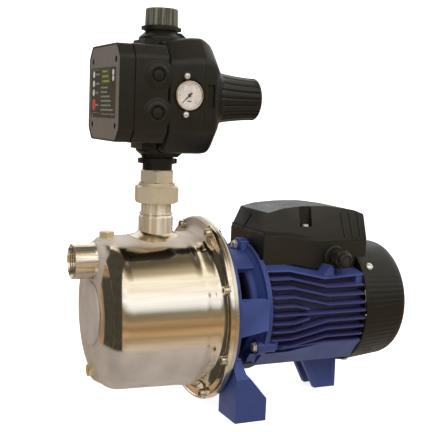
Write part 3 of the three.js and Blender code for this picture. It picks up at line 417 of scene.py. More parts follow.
def lathe(profile, axis="X", centre=(0, 0), steps=96, closed=False, shape=None):
    """Turns a profile of (along, radius) points round an axis.

    shape(along, radius, angle) may return a changed (along, radius) for fluted or ribbed pieces.
    """
    mesh = bmesh.new()
    rings = []
    for along, radius in profile:
        if radius < 1e-6:
            rings.append([mesh.verts.new(spin_place(axis, along, 0, 0, centre))] * steps)
            continue
        ring = []
        for i in range(steps):
            angle = 2 * math.pi * i / steps
            spot = shape(along, radius, angle) if shape else (along, radius)
            ring.append(mesh.verts.new(spin_place(axis, spot[0], spot[1], angle, centre)))
        rings.append(ring)
    pairs = list(zip(rings, rings[1:]))
    if closed:
        pairs.append((rings[-1], rings[0]))
    for first, second in pairs:
        for i in range(steps):
            k = (i + 1) % steps
            corners = [first[i], first[k], second[k], second[i]]
            unique = list(dict.fromkeys(corners))
            if len(unique) > 2:
                mesh.faces.new(unique)
    return tidy(mesh)


def prism(outline, axis, start, end):
    """Carries an outline along an axis: (y, z) points along X, (x, z) along Y or (x, y) along Z."""

    def spot(point, along):
        u, v = point
        return {"X": (along, u, v), "Y": (u, along, v), "Z": (u, v, along)}[axis]

    mesh = bmesh.new()
    first = [mesh.verts.new(spot(point, start)) for point in outline]
    second = [mesh.verts.new(spot(point, end)) for point in outline]
    mesh.faces.new(first)
    mesh.faces.new(second[::-1])
    count = len(outline)
    for i in range(count):
        k = (i + 1) % count
        mesh.faces.new([first[i], first[k], second[k], second[i]])
    return tidy(mesh)


def block(x0, x1, y0, y1, z0, z1):
    return prism([(y0, z0), (y1, z0), (y1, z1), (y0, z1)], "X", x0, x1)


def rod(radius, axis, start, end, centre=(0, 0), ease=0.0, steps=48):
    """A solid round bar with its end edges eased."""
    profile = rounded([(start, 0), (start, radius, ease), (end, radius, ease), (end, 0)], steps=3)
    return lathe(profile, axis, centre, steps)


def pipe(outer, inner, axis, start, end, centre=(0, 0), ease=0.6, steps=96):
    """A round tube with its edges eased."""
    corners = [(start, outer, ease), (end, outer, ease), (end, inner, ease), (start, inner, ease)]
    return lathe(rounded(corners, closed=True, steps=3), axis, centre, steps, closed=True)


def loft(loops):
    """A closed solid through loops of equal length, capped at both ends."""
    mesh = bmesh.new()
    rings = [[mesh.verts.new(spot) for spot in loop] for loop in loops]
    for first, second in zip(rings, rings[1:]):
        for i in range(len(first)):
            k = (i + 1) % len(first)
            mesh.faces.new([first[i], first[k], second[k], second[i]])
    mesh.faces.new(rings[0])
    mesh.faces.new(rings[-1][::-1])
    return tidy(mesh)


def hexagon_piece(size, axis, start, end, centre, chamfer_start=True, chamfer_end=True, turn=0.0, hole=0.0):
    """A hexagonal piece, size across its corners / 2, with the usual conical chamfer on its ends."""
    per_side = 12
    steps = 6 * per_side
    flat = size * math.cos(math.pi / 6)
    slope = math.tan(math.radians(30))
    low_end, high_end = min(start, end), max(start, end)
    mesh = bmesh.new()

    def rim(angle):
        inside = (angle % (math.pi / 3)) - math.pi / 6
        return flat / math.cos(inside)

    def ring(along_of, radius_of):
        spots = []
        for i in range(steps):
            angle = 2 * math.pi * i / steps
            place = spin_place(axis, along_of(angle), radius_of(angle), angle + turn, centre)
            spots.append(mesh.verts.new(place))
        return spots

    def drop(angle):
        return (rim(angle) - flat * 0.97) * slope

    rings = []
    if hole:
        rings.append(ring(lambda a: low_end, lambda a: hole))
    if chamfer_start:
        rings.append(ring(lambda a: low_end, lambda a: flat * 0.95))
        rings.append(ring(lambda a: low_end + drop(a), rim))
    else:
        rings.append(ring(lambda a: low_end, rim))
    if chamfer_end:
        rings.append(ring(lambda a: high_end - drop(a), rim))
        rings.append(ring(lambda a: high_end, lambda a: flat * 0.95))
    else:
        rings.append(ring(lambda a: high_end, rim))
    if hole:
        rings.append(ring(lambda a: high_end, lambda a: hole))
        rings.append(rings[0])
    for first, second in zip(rings, rings[1:]):
        for i in range(steps):
            k = (i + 1) % steps
            mesh.faces.new([first[i], first[k], second[k], second[i]])
    if not hole:
        mesh.faces.new(rings[0])
        mesh.faces.new(rings[-1][::-1])
    return tidy(mesh)


def tidy(mesh):
    bmesh.ops.remove_doubles(mesh, verts=mesh.verts, dist=1e-4)
    bmesh.ops.recalc_face_normals(mesh, faces=mesh.faces)
    return mesh


def joined(*meshes):
    """Several closed shapes kept in one mesh."""
    whole = meshes[0]
    for other in meshes[1:]:
        data = bpy.data.meshes.new("joined")
        other.to_mesh(data)
        other.free()
        whole.from_mesh(data)
        bpy.data.meshes.remove(data)
    return whole


def moved(mesh, matrix):
    bmesh.ops.transform(mesh, matrix=matrix, verts=mesh.verts)
    return mesh


def turned_about_shaft(mesh, degrees):
    """Turns a shape about the shaft, the top going towards -Y."""
    return moved(mesh, Matrix.Rotation(math.radians(degrees), 4, "X"))


def mirrored_in_y(mesh):
    """A copy on the other side of the shaft."""
    copy = mesh.copy()
    bmesh.ops.transform(copy, matrix=Matrix.Scale(-1, 4, (0, 1, 0)), verts=copy.verts)
    bmesh.ops.reverse_faces(copy, faces=copy.faces)
    return copy


def temporary_object(mesh):
    data = bpy.data.meshes.new("temporary")
    mesh.to_mesh(data)
    mesh.free()
    thing = bpy.data.objects.new("temporary", data)
    bpy.context.scene.collection.objects.link(thing)
    return thing


def combine(mesh, others, operation):
    """Booleans: the mesh with others taken away (DIFFERENCE), added (UNION) or kept in common."""
    base = temporary_object(mesh)
    tools = [temporary_object(other) for other in others]
    for tool in tools:
        modifier = base.modifiers.new("boolean", "BOOLEAN")
        modifier.operation = operation
        modifier.solver = "EXACT"
        modifier.object = tool
    bpy.context.view_layer.update()
    shown = base.evaluated_get(bpy.context.evaluated_depsgraph_get())
    data = bpy.data.meshes.new_from_object(shown)
    result = bmesh.new()
    result.from_mesh(data)
    bpy.data.meshes.remove(data)
    for thing in [base, *tools]:
        data = thing.data
        bpy.data.objects.remove(thing)
        bpy.data.meshes.remove(data)
    return result


def cut(mesh, *others):
    return combine(mesh, others, "DIFFERENCE")


def common(mesh, *others):
    return combine(mesh, others, "INTERSECT")


def piece(name, mesh, material, body="pump", stands_for=(), bevel=0.0, segments=2, sharp=32):
    """Makes a visible object of a mesh in the shaft frame and ties it to its CAD body."""
    for vertex in mesh.verts:
        vertex.co = at(*vertex.co)
    data = bpy.data.meshes.new(name)
    mesh.to_mesh(data)
    mesh.free()
    data.materials.clear()
    data.materials.append(material)
    data.shade_smooth()
    thing = bpy.data.objects.new(name, data)
    bpy.context.scene.collection.objects.link(thing)
    if bevel:
        modifier = thing.modifiers.new("bevel", "BEVEL")
        modifier.width = bevel * MM
        modifier.segments = segments
        modifier.limit_method = "ANGLE"
        modifier.angle_limit = math.radians(28)
        modifier.harden_normals = True
    else:
        data.set_sharp_from_angle(angle=math.radians(sharp))
    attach(thing, body)
    if stands_for:
        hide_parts(*stands_for)
    return thing


# ---------------------------------------------------------------- pump body

SUCTION_Z = middle("suction_socket").z
SUCTION_FACE_X = low("suction_socket").x
PORT_X = middle("discharge_socket").x
PORT_TOP_Z = high("discharge_socket").z
SOCKET_RADIUS = (high("suction_socket").y - low("suction_socket").y) / 2
SOCKET_BORE = 16.2
PLATE_RADIUS = high("front_plate").y
PLATE_FACE_X = low("front_plate").x
DRAIN_Z = middle("drain_plug").z
PRIMING_X = middle("priming_plug").x
FLANGE_RADIUS = high("pump_casing").y
FRONT_X = -119
BOSS_X = -122.6
FRONT_RADIUS = 85
REAR_RADIUS = 87
ROUNDING = 22
PRESS_LINE = 0.37  # a faint pressed line round the front's rounding, in radians from its front
BEAD_X = -21.1
BODY_RADIUS = 86.1  # under the discharge neck
FLARE = -1000  # stands in a profile for a height that follows the casing


def casing_profile():
    """The outer line from the middle of the front to the back of the flange rim."""
    line = [(BOSS_X, radius) for radius in range(0, 41, 4)]
    line += rounded([(BOSS_X, 40), (BOSS_X, 48.4, 5), (-119.4, 63.5)], steps=5)[1:]
    for i in range(8, 61):
        angle = math.pi / 2 * i / 60
        swell = ROUNDING + 0.32 * math.exp(-((angle - PRESS_LINE) / 0.045) ** 2)
        line.append((
            FRONT_X + ROUNDING - swell * math.cos(angle),
            FRONT_RADIUS - ROUNDING + swell * math.sin(angle),
        ))
    x = FRONT_X + ROUNDING
    while x < -15:
        x += 3.5 if x < -32 else 0.6
        line.append((x, FRONT_RADIUS + (REAR_RADIUS - FRONT_RADIUS) * (x + 97) / 83))
    line += rounded([(-13, 87), (-5.5, 87.8, 5), (0, 94, 5), (0, 98)], steps=8)[1:]
    line += rounded(
        [(0, 99.5), (0, 101, 1), (-1.6, 102.2, 1), (-1.6, 103.4, 1), (0.6, FLANGE_RADIUS, 1), (3,
        FLANGE_RADIUS)],
        steps=4,
    )
    return line + [(3, 0)]


def press_bumps(mesh):
    """The hood round the suction socket, the drain boss and the bead by the flange."""
    for vertex in mesh.verts:
        x, y, z = vertex.co
        radius = math.hypot(y, z)
        if x > -10 or radius < 1:
            continue
        hood = 1 - smooth(math.hypot(y, z - SUCTION_Z), 19.5, 31)
        drain = 1 - smooth(math.hypot(y, z - DRAIN_Z), 8.5, 17)
        for lift, level in ((hood, -121.6), (drain, -120.6)):
            if lift > 0 and x > level:
                x += (level - x) * lift
        bead = 0.8 * math.exp(-((x - BEAD_X) / 4) ** 2)
        grow = (radius + bead) / radius
        vertex.co = (x, y * grow, z * grow)
    return mesh


def pump_casing():
    solid = press_bumps(lathe(casing_profile(), steps=240))
    cavity = lathe([(-116, 0), (-116, 58), (-111, 73), (-97, 82.4), (-14, 84.4), (5, 84.4), (5, 0)], steps=96)
    bore = rod(SOCKET_BORE, "X", -135, -100, (0, SUCTION_Z))
    casing = cut(solid, cavity, bore)
    piece("casing", casing, CASING_STEEL, stands_for=["pump_casing"], sharp=40)
    piece("discharge_neck", neck_flare(), NECK_STEEL)
    seat = lathe(
        rounded(
            [(77, 6.4), (77, 14), (82, 12.5, 3), (83.2, 10.8, 0.8), (83.2, 6.4)],
            closed=True,
        ),
        "Z",
        (PRIMING_X, 0),
        64,
        closed=True,
    )
    piece("priming_seat", seat, SATIN_STEEL)


def neck_flare():
    """The foot of the discharge neck, spread out over the casing's curve like a trumpet."""
    spread = [(FLARE, radius) for radius in (32, 30, 28, 26.5, 25, 23.8, 22.8, 21.8, 21, 20.4, 19.8, 19.4)]
    profile = [(60, 0), (60, 32), *spread, (88, 18), (88, 0)]

    def follow(along, radius, angle):
        if along != FLARE:
            return along, radius
        across = radius * math.sin(angle)
        body = math.sqrt(BODY_RADIUS ** 2 - across ** 2)
        return body + 4.2 * math.exp(-(radius - 19.4) / 3.4) - 0.03 * (radius - 19.4), radius

    return lathe(profile, "Z", (PORT_X, 0), 128, shape=follow)


def inner_thread(start, end, bore, pitch, depth=0.9):
    """The zigzag of an inside thread as (along, radius) points, from start to end."""
    count = max(1, round(abs(end - start) / pitch))
    step = (end - start) / count
    points = []
    for i in range(count):
        points.append((start + step * i, bore + depth))
        points.append((start + step * (i + 0.5), bore))
    return points


def sockets():
    face = SUCTION_FACE_X
    profile = [(face, SOCKET_BORE + 1.6)]
    profile += rounded(
        [(face, 17.9), (face, 18.6, 0.4), (face + 0.8, SOCKET_RADIUS, 0.4), (-124, SOCKET_RADIUS, 1), (-121,
        20.6, 2),
         (-119, 22.5)],
    )
    profile += [(-113, 22.5), (-113, SOCKET_BORE + 0.9)]
    profile += list(reversed(inner_thread(face + 1.6, -114, SOCKET_BORE, 2.3)))
    suction = lathe(profile, "X", (0, SUCTION_Z), 128, closed=True)
    piece("suction_socket_shell", suction, SUCTION_STEEL, stands_for=["suction_socket"])
    top = PORT_TOP_Z
    profile = rounded(
        [(80, SOCKET_BORE), (80, SOCKET_RADIUS), (top - 2.4, SOCKET_RADIUS, 0.5),
         (top, SOCKET_RADIUS - 2, 0.4), (top, SOCKET_BORE + 1), (top - 1, SOCKET_BORE)],
        steps=3,
    )
    outlet = lathe(profile, "Z", (PORT_X, 0), 128, closed=True)
    piece("discharge_socket_shell", outlet, SOCKET_STEEL, stands_for=["discharge_socket"])


def front_plate():
    face = PLATE_FACE_X
    profile = rounded(
        [(face, 0), (face, 9), (face + 0.3, 9.5), (face + 0.3, 25), (face, 25.6), (face, 31, 0.3),
         (face + 0.5, 31.5, 0.3), (face + 0.5, 32.4, 0.3), (face, 33, 0.3), (face, PLATE_RADIUS, 1.2),
         (face + 2.5, PLATE_RADIUS), (face + 2.5, 0)],
        steps=3,
    )
    piece("front_plate_disc", lathe(profile, steps=160), SATIN_STEEL, stands_for=["front_plate"])


def brass_plugs():
    top = high("priming_plug").z
    head = hexagon_piece(9, "Z", 83.4, top, (PRIMING_X, 0), chamfer_start=False, turn=0.3)
    washer = rod(8.8, "Z", 82.8, 84.2, (PRIMING_X, 0), 0.3)
    piece("priming_plug_head", joined(head, washer), BRASS, "priming_plug",
          stands_for=["priming_plug"])
    front = low("drain_plug").x
    head = hexagon_piece(7.6, "X", front, front + 5, (0, DRAIN_Z), chamfer_end=False, turn=0.2)
    washer = rod(8.2, "X", front + 4.2, front + 5.6, (0, DRAIN_Z), 0.3)
    piece("drain_plug_head", joined(head, washer), BRASS, stands_for=["drain_plug"])


def flange():
    profile = rounded(
        [(3.3, 86), (3.3, FLANGE_RADIUS - 0.4, 0.8), (8.3, FLANGE_RADIUS - 0.2, 1.6), (8.3, 86)],
        closed=True,
        steps=4,
    )
    plate = lathe(profile, steps=200, closed=True)
    disc = lathe([(4, 0), (4, 88), (8, 88), (8, 0)], steps=96)
    piece("flange_plate", joined(plate, disc), RIM_STEEL, stands_for=["seal_plate"])
    # a near-black ring in the joint: painted shade in the seam
    seam = pipe(FLANGE_RADIUS - 1.2, 90, "X", 2.8, 3.6, ease=0)
    piece("flange_seam", seam, PAINTED_GAP_SHADE)


def socket_screw(radius, hexagon, front, back, centre, steps=36):
    """A socket-head cap screw along X: knurl-free round head with a hexagon recess in its front."""
    head = rod(radius, "X", front, back, centre, 0.6, steps)
    recess = hexagon_piece(hexagon, "X", front - 1, front + 2.8, centre, False, False, turn=0.3)
    return cut(head, recess)


def flange_screws():
    for i in range(8):
        node = f"flange_screw_{i + 1}"
        spot = middle(node)
        centre = (spot.y, spot.z)
        head = socket_screw(5, 2.9, low(node).x, -0.2, centre)
        washer = pipe(6.6, 4, "X", -0.9, -0.1, centre, 0.2, 36)
        shank = rod(3, "X", 8, 11.8, centre, 0.4, 24)
        piece(f"{node}_head", joined(head, washer, shank), RIM_STEEL, stands_for=[node])


# ---------------------------------------------------------------- union on the discharge socket


def union():
    tail = lathe(
        [(109, 12.5), (109, 17), (126, 17), (126, 12.5)],
        "Z",
        (PORT_X, 0),
        96,
        closed=True,
        shape=lambda along, radius, angle: (along, facet_radius(radius, angle,
            12) if radius > 15 else radius),
    )
    collar = pipe(21.6, 13, "Z", 125, 128, (PORT_X, 0))
    ring = pipe(18.6, 14, "Z", 108.9, 110.6, (PORT_X, 0), 0.4)
    piece("union_tail_piece", joined(tail, collar, ring), SOCKET_STEEL, stands_for=["union_tail"],
          sharp=20)
    nut = hexagon_piece(26, "Z", low("union_nut").z, high("union_nut").z, (PORT_X, 0), turn=0.32, hole=17.4)
    piece("union_nut_ring", nut, NICKEL, "union_nut", stands_for=["union_nut"], sharp=20)
    base = low("union_adaptor").z
    top = high("union_adaptor").z
    adaptor = hexagon_piece(20.5, "Z", 143.5, top, (PORT_X, 0), turn=0.15, hole=12.5)
    collar = pipe(20.2, 12.6, "Z", base, 144, (PORT_X, 0))
    piece("union_adaptor_piece", joined(adaptor, collar), NICKEL, stands_for=["union_adaptor"],
          sharp=20)


def facet_radius(radius, angle, sides):
    """The distance to a regular polygon's side, for a polygon of that corner radius."""
    span = 2 * math.pi / sides
    inside = (angle % span) - span / 2
    return radius * math.cos(span / 2) / math.cos(inside)


# ---------------------------------------------------------------- pressure controller

CONTROL_Z = middle("gauge_case").z
PANEL_X = low("box_cover").x
PANEL_HALF_Y = high("box_cover").y
PANEL_HALF_Z = high("box_cover").z - CONTROL_Z
PANEL_CUT_Y = 11.5
PANEL_CUT_Z = 13
COVER_BACK_X = high("box_cover").x
BOX_BACK_X = -61.3
DRUM_HALF_Y = high("rear_housing").y
DRUM_HALF_Z = 62
DRUM_CUT_Y = 21
DRUM_CUT_Z = 25
DRUM_SEAM_X = low("rear_housing").x
TAIL_END_X = high("rear_housing").x


def drum_outline(inset=0.0, ease=5.0):
    return rectangle(DRUM_HALF_Y - inset, DRUM_HALF_Z - inset, DRUM_CUT_Y, DRUM_CUT_Z, (0, CONTROL_Z), ease)


def panel_outline(inset, ease=3.0):
    return rectangle(
        PANEL_HALF_Y - inset,
        PANEL_HALF_Z - inset,
        PANEL_CUT_Y,
        PANEL_CUT_Z,
        (0, CONTROL_Z),
        ease,
    )


def valve_body():
    neck_low = rounded(
        [(147, 0), (147, 16.4, 0.6), (165.2, 16.4, 0.5), (165.2, 19.2, 0.6), (171.2, 19.2, 0.6), (171.2, 17,
        1),
         (174, 18.5, 2), (179, 24.5, 2), (190, 24.5), (190, 0)],
    )
    neck_high = rounded(
        [(290, 0), (290, 24.5), (302, 24.5, 2), (307, 18.5, 2), (309.2, 17, 1), (309.2, 19.2, 0.6),
         (314, 19.2, 0.6), (314, 14.8), (329, 14.6, 0.5), (329, 11.5), (300, 11.5), (300, 0)],
    )
    pipes = [lathe(neck, "Z", (PORT_X, 0), 96) for neck in (neck_low, neck_high)]
    column = rod(24.2, "Z", 180, 298, (PORT_X, 0))
    shoulders = [neck_shoulder(z0, z1, way) for z0, z1, way in ((296, 307, 1), (184, 173, -1))]
    tabs = [block(PORT_X - 21.5, PORT_X + 21.5, -5, 5, z0, z1) for z0, z1 in ((165.4, 171), (309.4, 313.8))]
    mounts = [block(-76, -58, -19, 19, z0, z1) for z0, z1 in ((291.8, 298.8), (181.2, 188.2))]
    piece("valve_column", joined(*pipes, column), CONTROLLER_PLASTIC)
    piece("valve_tabs", joined(*tabs, *mounts, *shoulders), CONTROLLER_PLASTIC, bevel=1.0)


def neck_shoulder(z0, z1, way):
    """The web that spreads from a neck out onto the drum's top or bottom."""
    depth = 17
    outline = [(PORT_X + 5, z0), (DRUM_SEAM_X - 1, z0), (DRUM_SEAM_X - 1, z0 + way), (PORT_X + 17, z1),
               (PORT_X + 5, z1)]
    return prism(outline, "Y", -depth, depth)


def drum_ring(x, across, above, below):
    """The drum's outline at x, scaled across, above and below the controller's axis."""
    ring = []
    for y, z in drum_outline():
        rise = z - CONTROL_Z
        ring.append((x, y * across, CONTROL_Z + rise * (above if rise > 0 else below)))
    return ring


DRUM_FRONT = [(-61, 0.9, 0.895, 0.92), (-60, 0.95, 0.908, 0.96), (-58.5, 0.985, 0.918, 0.985),
              (-56.5, 1, 0.926, 1), (-46.6, 1, 0.952, 1), (-37, 1, 0.978, 1), (-29.6, 1, 0.994, 1)]
DRUM_REAR = [(-17.5, 1, 0.995, 1), (-15, 1, 0.98, 1), (-12, 1, 0.95, 0.995), (-9, 1, 0.915, 0.985),
             (-7, 0.992, 0.88, 0.97), (-5.5, 0.97, 0.85, 0.95), (-3, 0.92, 0.79, 0.91), (0, 0.85, 0.72, 0.84),
             (4, 0.7, 0.6, 0.72), (10, 0.57, 0.52, 0.57), (16, 0.44, 0.44, 0.44)]


def drum():
    seam_front, seam_rear = DRUM_SEAM_X - 0.35, DRUM_SEAM_X
    front = loft([drum_ring(*station) for station in [*DRUM_FRONT, (seam_front, 1, 1, 1)]])
    rear = loft([drum_ring(*station) for station in [(seam_rear, 1, 1, 1), *DRUM_REAR]])
    gauge_room = rod(17.6, "Y", -70, -55.4, (middle("gauge_case").x, CONTROL_Z))
    window = block(-17, -9, -70, -54.5, CONTROL_Z - 12, CONTROL_Z + 12)
    piece("drum_front", cut(front, gauge_room), CONTROLLER_PLASTIC,
          stands_for=["controller_body"], sharp=36)
    # a near-black core in the seam: painted shade
    core = prism(drum_outline(inset=0.7), "X", DRUM_SEAM_X - 4, DRUM_SEAM_X + 2)
    piece("drum_core", core, PAINTED_GAP_SHADE)
    piece("drum_rear", cut(rear, window), CONTROLLER_PLASTIC, stands_for=["rear_housing"],
          sharp=36)


TAIL_RIBS = 20


def tail():
    """The ribbed tail: a bell that narrows to a fluted cylinder."""
    profile = [(3, 0), (3, 36)]
    bell = [(6, 34.2), (9, 32.5), (11.5, 31.2), (14, 30), (17, 29), (20, 28.2), (24, 27.5), (28, 26.9), (32,
        26.3),
            (37, 25.7), (43, 25.1), (50, 24.4), (56, 24.1), (61, 23.9)]
    profile += bell
    profile += rounded([(61.5, 24), (TAIL_END_X - 0.4, 23.8, 3), (TAIL_END_X, 16), (TAIL_END_X, 15)], steps=5)
    profile += [(TAIL_END_X - 1, 14.4), (TAIL_END_X - 1, 0)]

    def flute(along, radius, angle):
        wave = abs(math.sin(angle * TAIL_RIBS / 2))
        groove = (1 - wave) ** 3
        depth = 1.3 * smooth(along, 4, 12) * (1 - smooth(along, 60, 63.5))
        return along, radius - depth * groove

    shape = lathe(profile, "X", (0, CONTROL_Z), 320, shape=flute)
    piece("tail_bell", shape, CONTROLLER_PLASTIC, sharp=50)


def cable_entry(z):
    """A round knock-out: a raised ring, a groove and a domed middle."""
    face = -PANEL_HALF_Y
    profile = rounded(
        [(face + 1, 0), (face + 1, 18), (face - 0.8, 15, 3), (face - 0.9, 12), (face - 2.2, 9.6, 1.2),
        (face - 2.2, 7.8, 0.8),
         (face - 0.3, 6.6, 0.5), (face - 0.3, 6, 0.4), (face - 1.9, 5.2, 0.8), (face - 2.3, 0)][::-1],
    )
    return lathe(profile, "Y", (-73, z), 64)


def electronics_box():
    box = prism(panel_outline(-0.4), "X", COVER_BACK_X + 0.5, BOX_BACK_X)
    piece("electronics_case", box, CONTROLLER_PLASTIC, stands_for=["electronics_box"],
          bevel=1.0, segments=3)
    # a near-black core in the cover's seam: painted shade
    core = prism(panel_outline(0.7), "X", COVER_BACK_X - 4, COVER_BACK_X + 4)
    piece("box_seam", core, PAINTED_GAP_SHADE)
    entries = [cable_entry(CONTROL_Z + dz) for dz in (19.4, -19.4)]
    piece("cable_knock_outs", joined(*entries), CONTROLLER_PLASTIC)
    cover = cut(
        prism(panel_outline(0.1), "X", PANEL_X, COVER_BACK_X),
        prism(panel_outline(1.9, 2.5), "X", PANEL_X - 5, PANEL_X + 1.2),
        rod(*BUTTON_HOLE),
    )
    piece("front_cover", cover, CONTROLLER_PLASTIC, stands_for=["box_cover"], bevel=0.8,
          segments=3)


BUTTON = middle("reset_button")
BUTTON_HOLE = (6.9, "X", PANEL_X - 3, PANEL_X + 4, (BUTTON.y, BUTTON.z), 0, 48)
PANEL_FACE_X = PANEL_X + 0.5
LABEL_X = PANEL_FACE_X - 0.25


def on_panel(outline, height, base=PANEL_FACE_X):
    """An outline of (y, z from the controller's middle) points raised from the panel."""
    return prism([(y, z + CONTROL_Z) for y, z in outline], "X", base - height, base + 0.1)


def bar(y0, y1, z0, z1):
    return [(y0, z0), (y1, z0), (y1, z1), (y0, z1)]


LABEL_LEFT = 48.5
LABEL_RIGHT = -41
LABEL_HALF_Z = 26.6
LAMP_Y = 36.8
LAMPS_Z = (19.8, 9.9, 0.1)


def control_panel():
    plate = prism(panel_outline(2.1, 2.5), "X", PANEL_FACE_X, PANEL_FACE_X + 1.4)
    holes = [rod(3.4, "X", PANEL_X - 3, PANEL_X + 1.4, (y, CONTROL_Z + z), steps=24)
             for y in (-40.5, 42.5) for z in (-34.2, 34)]
    piece("panel_plate", cut(plate, rod(*BUTTON_HOLE), *holes), GREY_PANEL,
          stands_for=["control_panel"], bevel=0.3)
    # the screws at the bottom of the panel holes are near-black: painted shade in the holes
    screws = [rod(3.2, "X", PANEL_X + 1.2, PANEL_X + 2.2, (y, CONTROL_Z + z), 0.3, 24)
              for y in (-40.5, 42.5) for z in (-34.2, 34)]
    piece("panel_screws", joined(*screws), PAINTED_GAP_SHADE)
    label = rectangle(
        (LABEL_LEFT - LABEL_RIGHT) / 2, LABEL_HALF_Z, 1.5, 1.5, ((LABEL_LEFT + LABEL_RIGHT) / 2, 0), 1,
    )
    piece("panel_label", cut(on_panel(label, 0.25), rod(*BUTTON_HOLE)), LABEL_BLACK)
    lamps = [circle(3.7, (LAMP_Y, z), 32) for z in LAMPS_Z]
    lamps.append(circle(3.2, (-33.5, 20.8), 28))
    lamps.append(circle(3.0, (-33.8, 14.6), 28))
    piece("panel_lamps", joined(*[on_panel(lamp, 0.35, LABEL_X) for lamp in lamps]), LABEL_WHITE,
          bevel=0.15)
    olive = on_panel(bar(-23.5, 10, 9, 25.5), 0.1, LABEL_X)
    piece("panel_colour_field", olive, LABEL_OLIVE)
    marks = []
    for z, y_end in ((19.8, 17), (9.9, 17), (0.1, 20), (-13.2, 19)):
        marks += dashes(29.5, y_end, z, 2.0)
    for row, y_end in enumerate((-16, -12, -22, -26, -26, -34)):
        marks += dashes(9.5, y_end, 5.4 - row * 4.7, 1.7)
    marks += dashes(44, 14, -21.6, 0.5)
    marks += dashes(6, -38, -22.6, 0.9)
    marks += dashes(44, 14, 24.6, 0.5)
    marks += [bar(39.5, 41.5, -26, -23.4)]
    piece("panel_marks", joined(*[on_panel(mark, 0.08, LABEL_X) for mark in marks]), LABEL_GREY)
    inked = []
    for row in range(3):
        inked += dashes(5, -12 - 4 * row, 22.4 - 5.2 * row, 2.0)
    piece("panel_field_marks", joined(*[on_panel(mark, 0.2, LABEL_X) for mark in inked]), OLIVE_INK)


def dashes(y_start, y_end, z, height):
    """A row of plain dashes of varied length, standing for printed lines."""
    marks = []
    y = y_start
    step = 0
    while y > y_end:
        width = (2.6, 1.7, 3.4, 2.1, 4.0)[step % 5]
        stop = max(y - width, y_end)
        marks.append(bar(stop, y, z - height / 2, z + height / 2))
        y = stop - 1.1
        step += 1
    return marks


def reset_button():
    front = low("reset_button").x
    radius = 6.5
    profile = rounded(
        [(front - 0.2, 0), (front, radius * 0.5), (front + 0.5, radius, 0.8), (front + 4, radius),
         (front + 4, radius + 0.6), (front + 5, radius + 0.6), (front + 5, 0)],
    )
    shape = lathe(profile, "X", (BUTTON.y, BUTTON.z), 48)
    piece("reset_button_cap", shape, RED_PLASTIC, "reset_button", stands_for=["reset_button"])


GAUGE = middle("gauge_case")
GAUGE_FRONT_Y = low("gauge_case").y
GAUGE_RADIUS = high("gauge_case").x - GAUGE.x


def gauge():
    front = GAUGE_FRONT_Y
    centre = (GAUGE.x, GAUGE.z)
    ring = lathe(
        rounded(
            [(-54, GAUGE_RADIUS - 0.4), (front + 0.8, GAUGE_RADIUS, 0.5), (front, GAUGE_RADIUS - 0.7, 0.5),
             (front + 0.2, GAUGE_RADIUS - 1.7, 0.4), (front + 1.6, GAUGE_RADIUS - 2), (-54,
             GAUGE_RADIUS - 2)],
        ),
        "Y",
        centre,
        96,
        closed=True,
    )
    piece("gauge_ring", ring, RIM_STEEL)
    dial = rod(GAUGE_RADIUS - 1.6, "Y", front + 1.7, -54, centre)
    piece("gauge_dial", dial, DIAL_FACE, stands_for=["gauge_case"])
    ticks = []
    for i in range(25):
        angle = math.radians(-135 + 270 * i / 24)
        length = 2.4 if i % 4 == 0 else 1.3
        width = 0.22 if i % 4 == 0 else 0.12
        tick = block(-width, width, front + 1.55, front + 1.75, 12.2 - length, 12.2)
        turn = Matrix.Rotation(angle, 4, "Y")
        ticks.append(moved(tick, Matrix.Translation((GAUGE.x, 0, GAUGE.z)) @ turn))
    ticks.append(block(GAUGE.x - 2.4, GAUGE.x + 2.4, front + 1.55, front + 1.75, GAUGE.z - 6.6,
    GAUGE.z - 5.4))
    piece("gauge_ticks", joined(*ticks), DARK_INK)
    glass = lathe(
        rounded([(front + 0.7, 0), (front + 0.9, 8), (front + 1.1, 13.4), (front + 1.3, 13.4), (front + 1.15,
        0)]),
        "Y",
        centre,
        64,
    )
    piece("gauge_glass", glass, WINDOW)


def gauge_screws():
    screws = []
    for dz in (20, -20):
        centre = (GAUGE.x - 3.2, CONTROL_Z + dz)
        lug = lathe(
            rounded([(-50, 0), (-50, 5.6), (-DRUM_HALF_Y - 0.9, 5.0, 0.8), (-DRUM_HALF_Y - 0.9, 0)]),
            "Y",
            centre,
            48,
        )
        piece(f"gauge_lug_{'upper' if dz > 0 else 'lower'}", lug, CONTROLLER_PLASTIC)
        screws.append(cut(
            lathe(
                rounded([(-56, 0), (-56, 3.3), (-DRUM_HALF_Y - 1.2, 3.3, 0.5), (-DRUM_HALF_Y - 2.6, 2.2, 1.6),
                         (-DRUM_HALF_Y - 2.9, 0)]),
                "Y",
                centre,
                40,
            ),
            block(centre[0] - 2, centre[0] + 2, -70, -DRUM_HALF_Y - 1.9, centre[1] - 0.35, centre[1] + 0.35),
            block(centre[0] - 0.35, centre[0] + 0.35, -70, -DRUM_HALF_Y - 1.9, centre[1] - 2, centre[1] + 2),
        ))
    piece("gauge_screws", joined(*screws), CHROME)


POINTER_ANGLE = math.radians(225)


def gauge_pointer():
    y = GAUGE_FRONT_Y + 1.45
    outline = [(-0.9, -4.2), (0.9, -4.2), (0.35, 11), (-0.35, 11)]
    needle = prism(outline, "Y", y - 0.1, y + 0.1)
    hub = rod(1.9, "Y", y - 0.35, y + 0.1, ease=0.2, steps=32)
    turn = Matrix.Translation((GAUGE.x, 0, GAUGE.z)) @ Matrix.Rotation(POINTER_ANGLE, 4, "Y")
    shape = moved(joined(needle, hub), turn)
    piece("gauge_needle", shape, DARK_INK, "gauge_pointer", stands_for=["gauge_pointer"])


CAP_RADIUS = high("outlet_cap").y


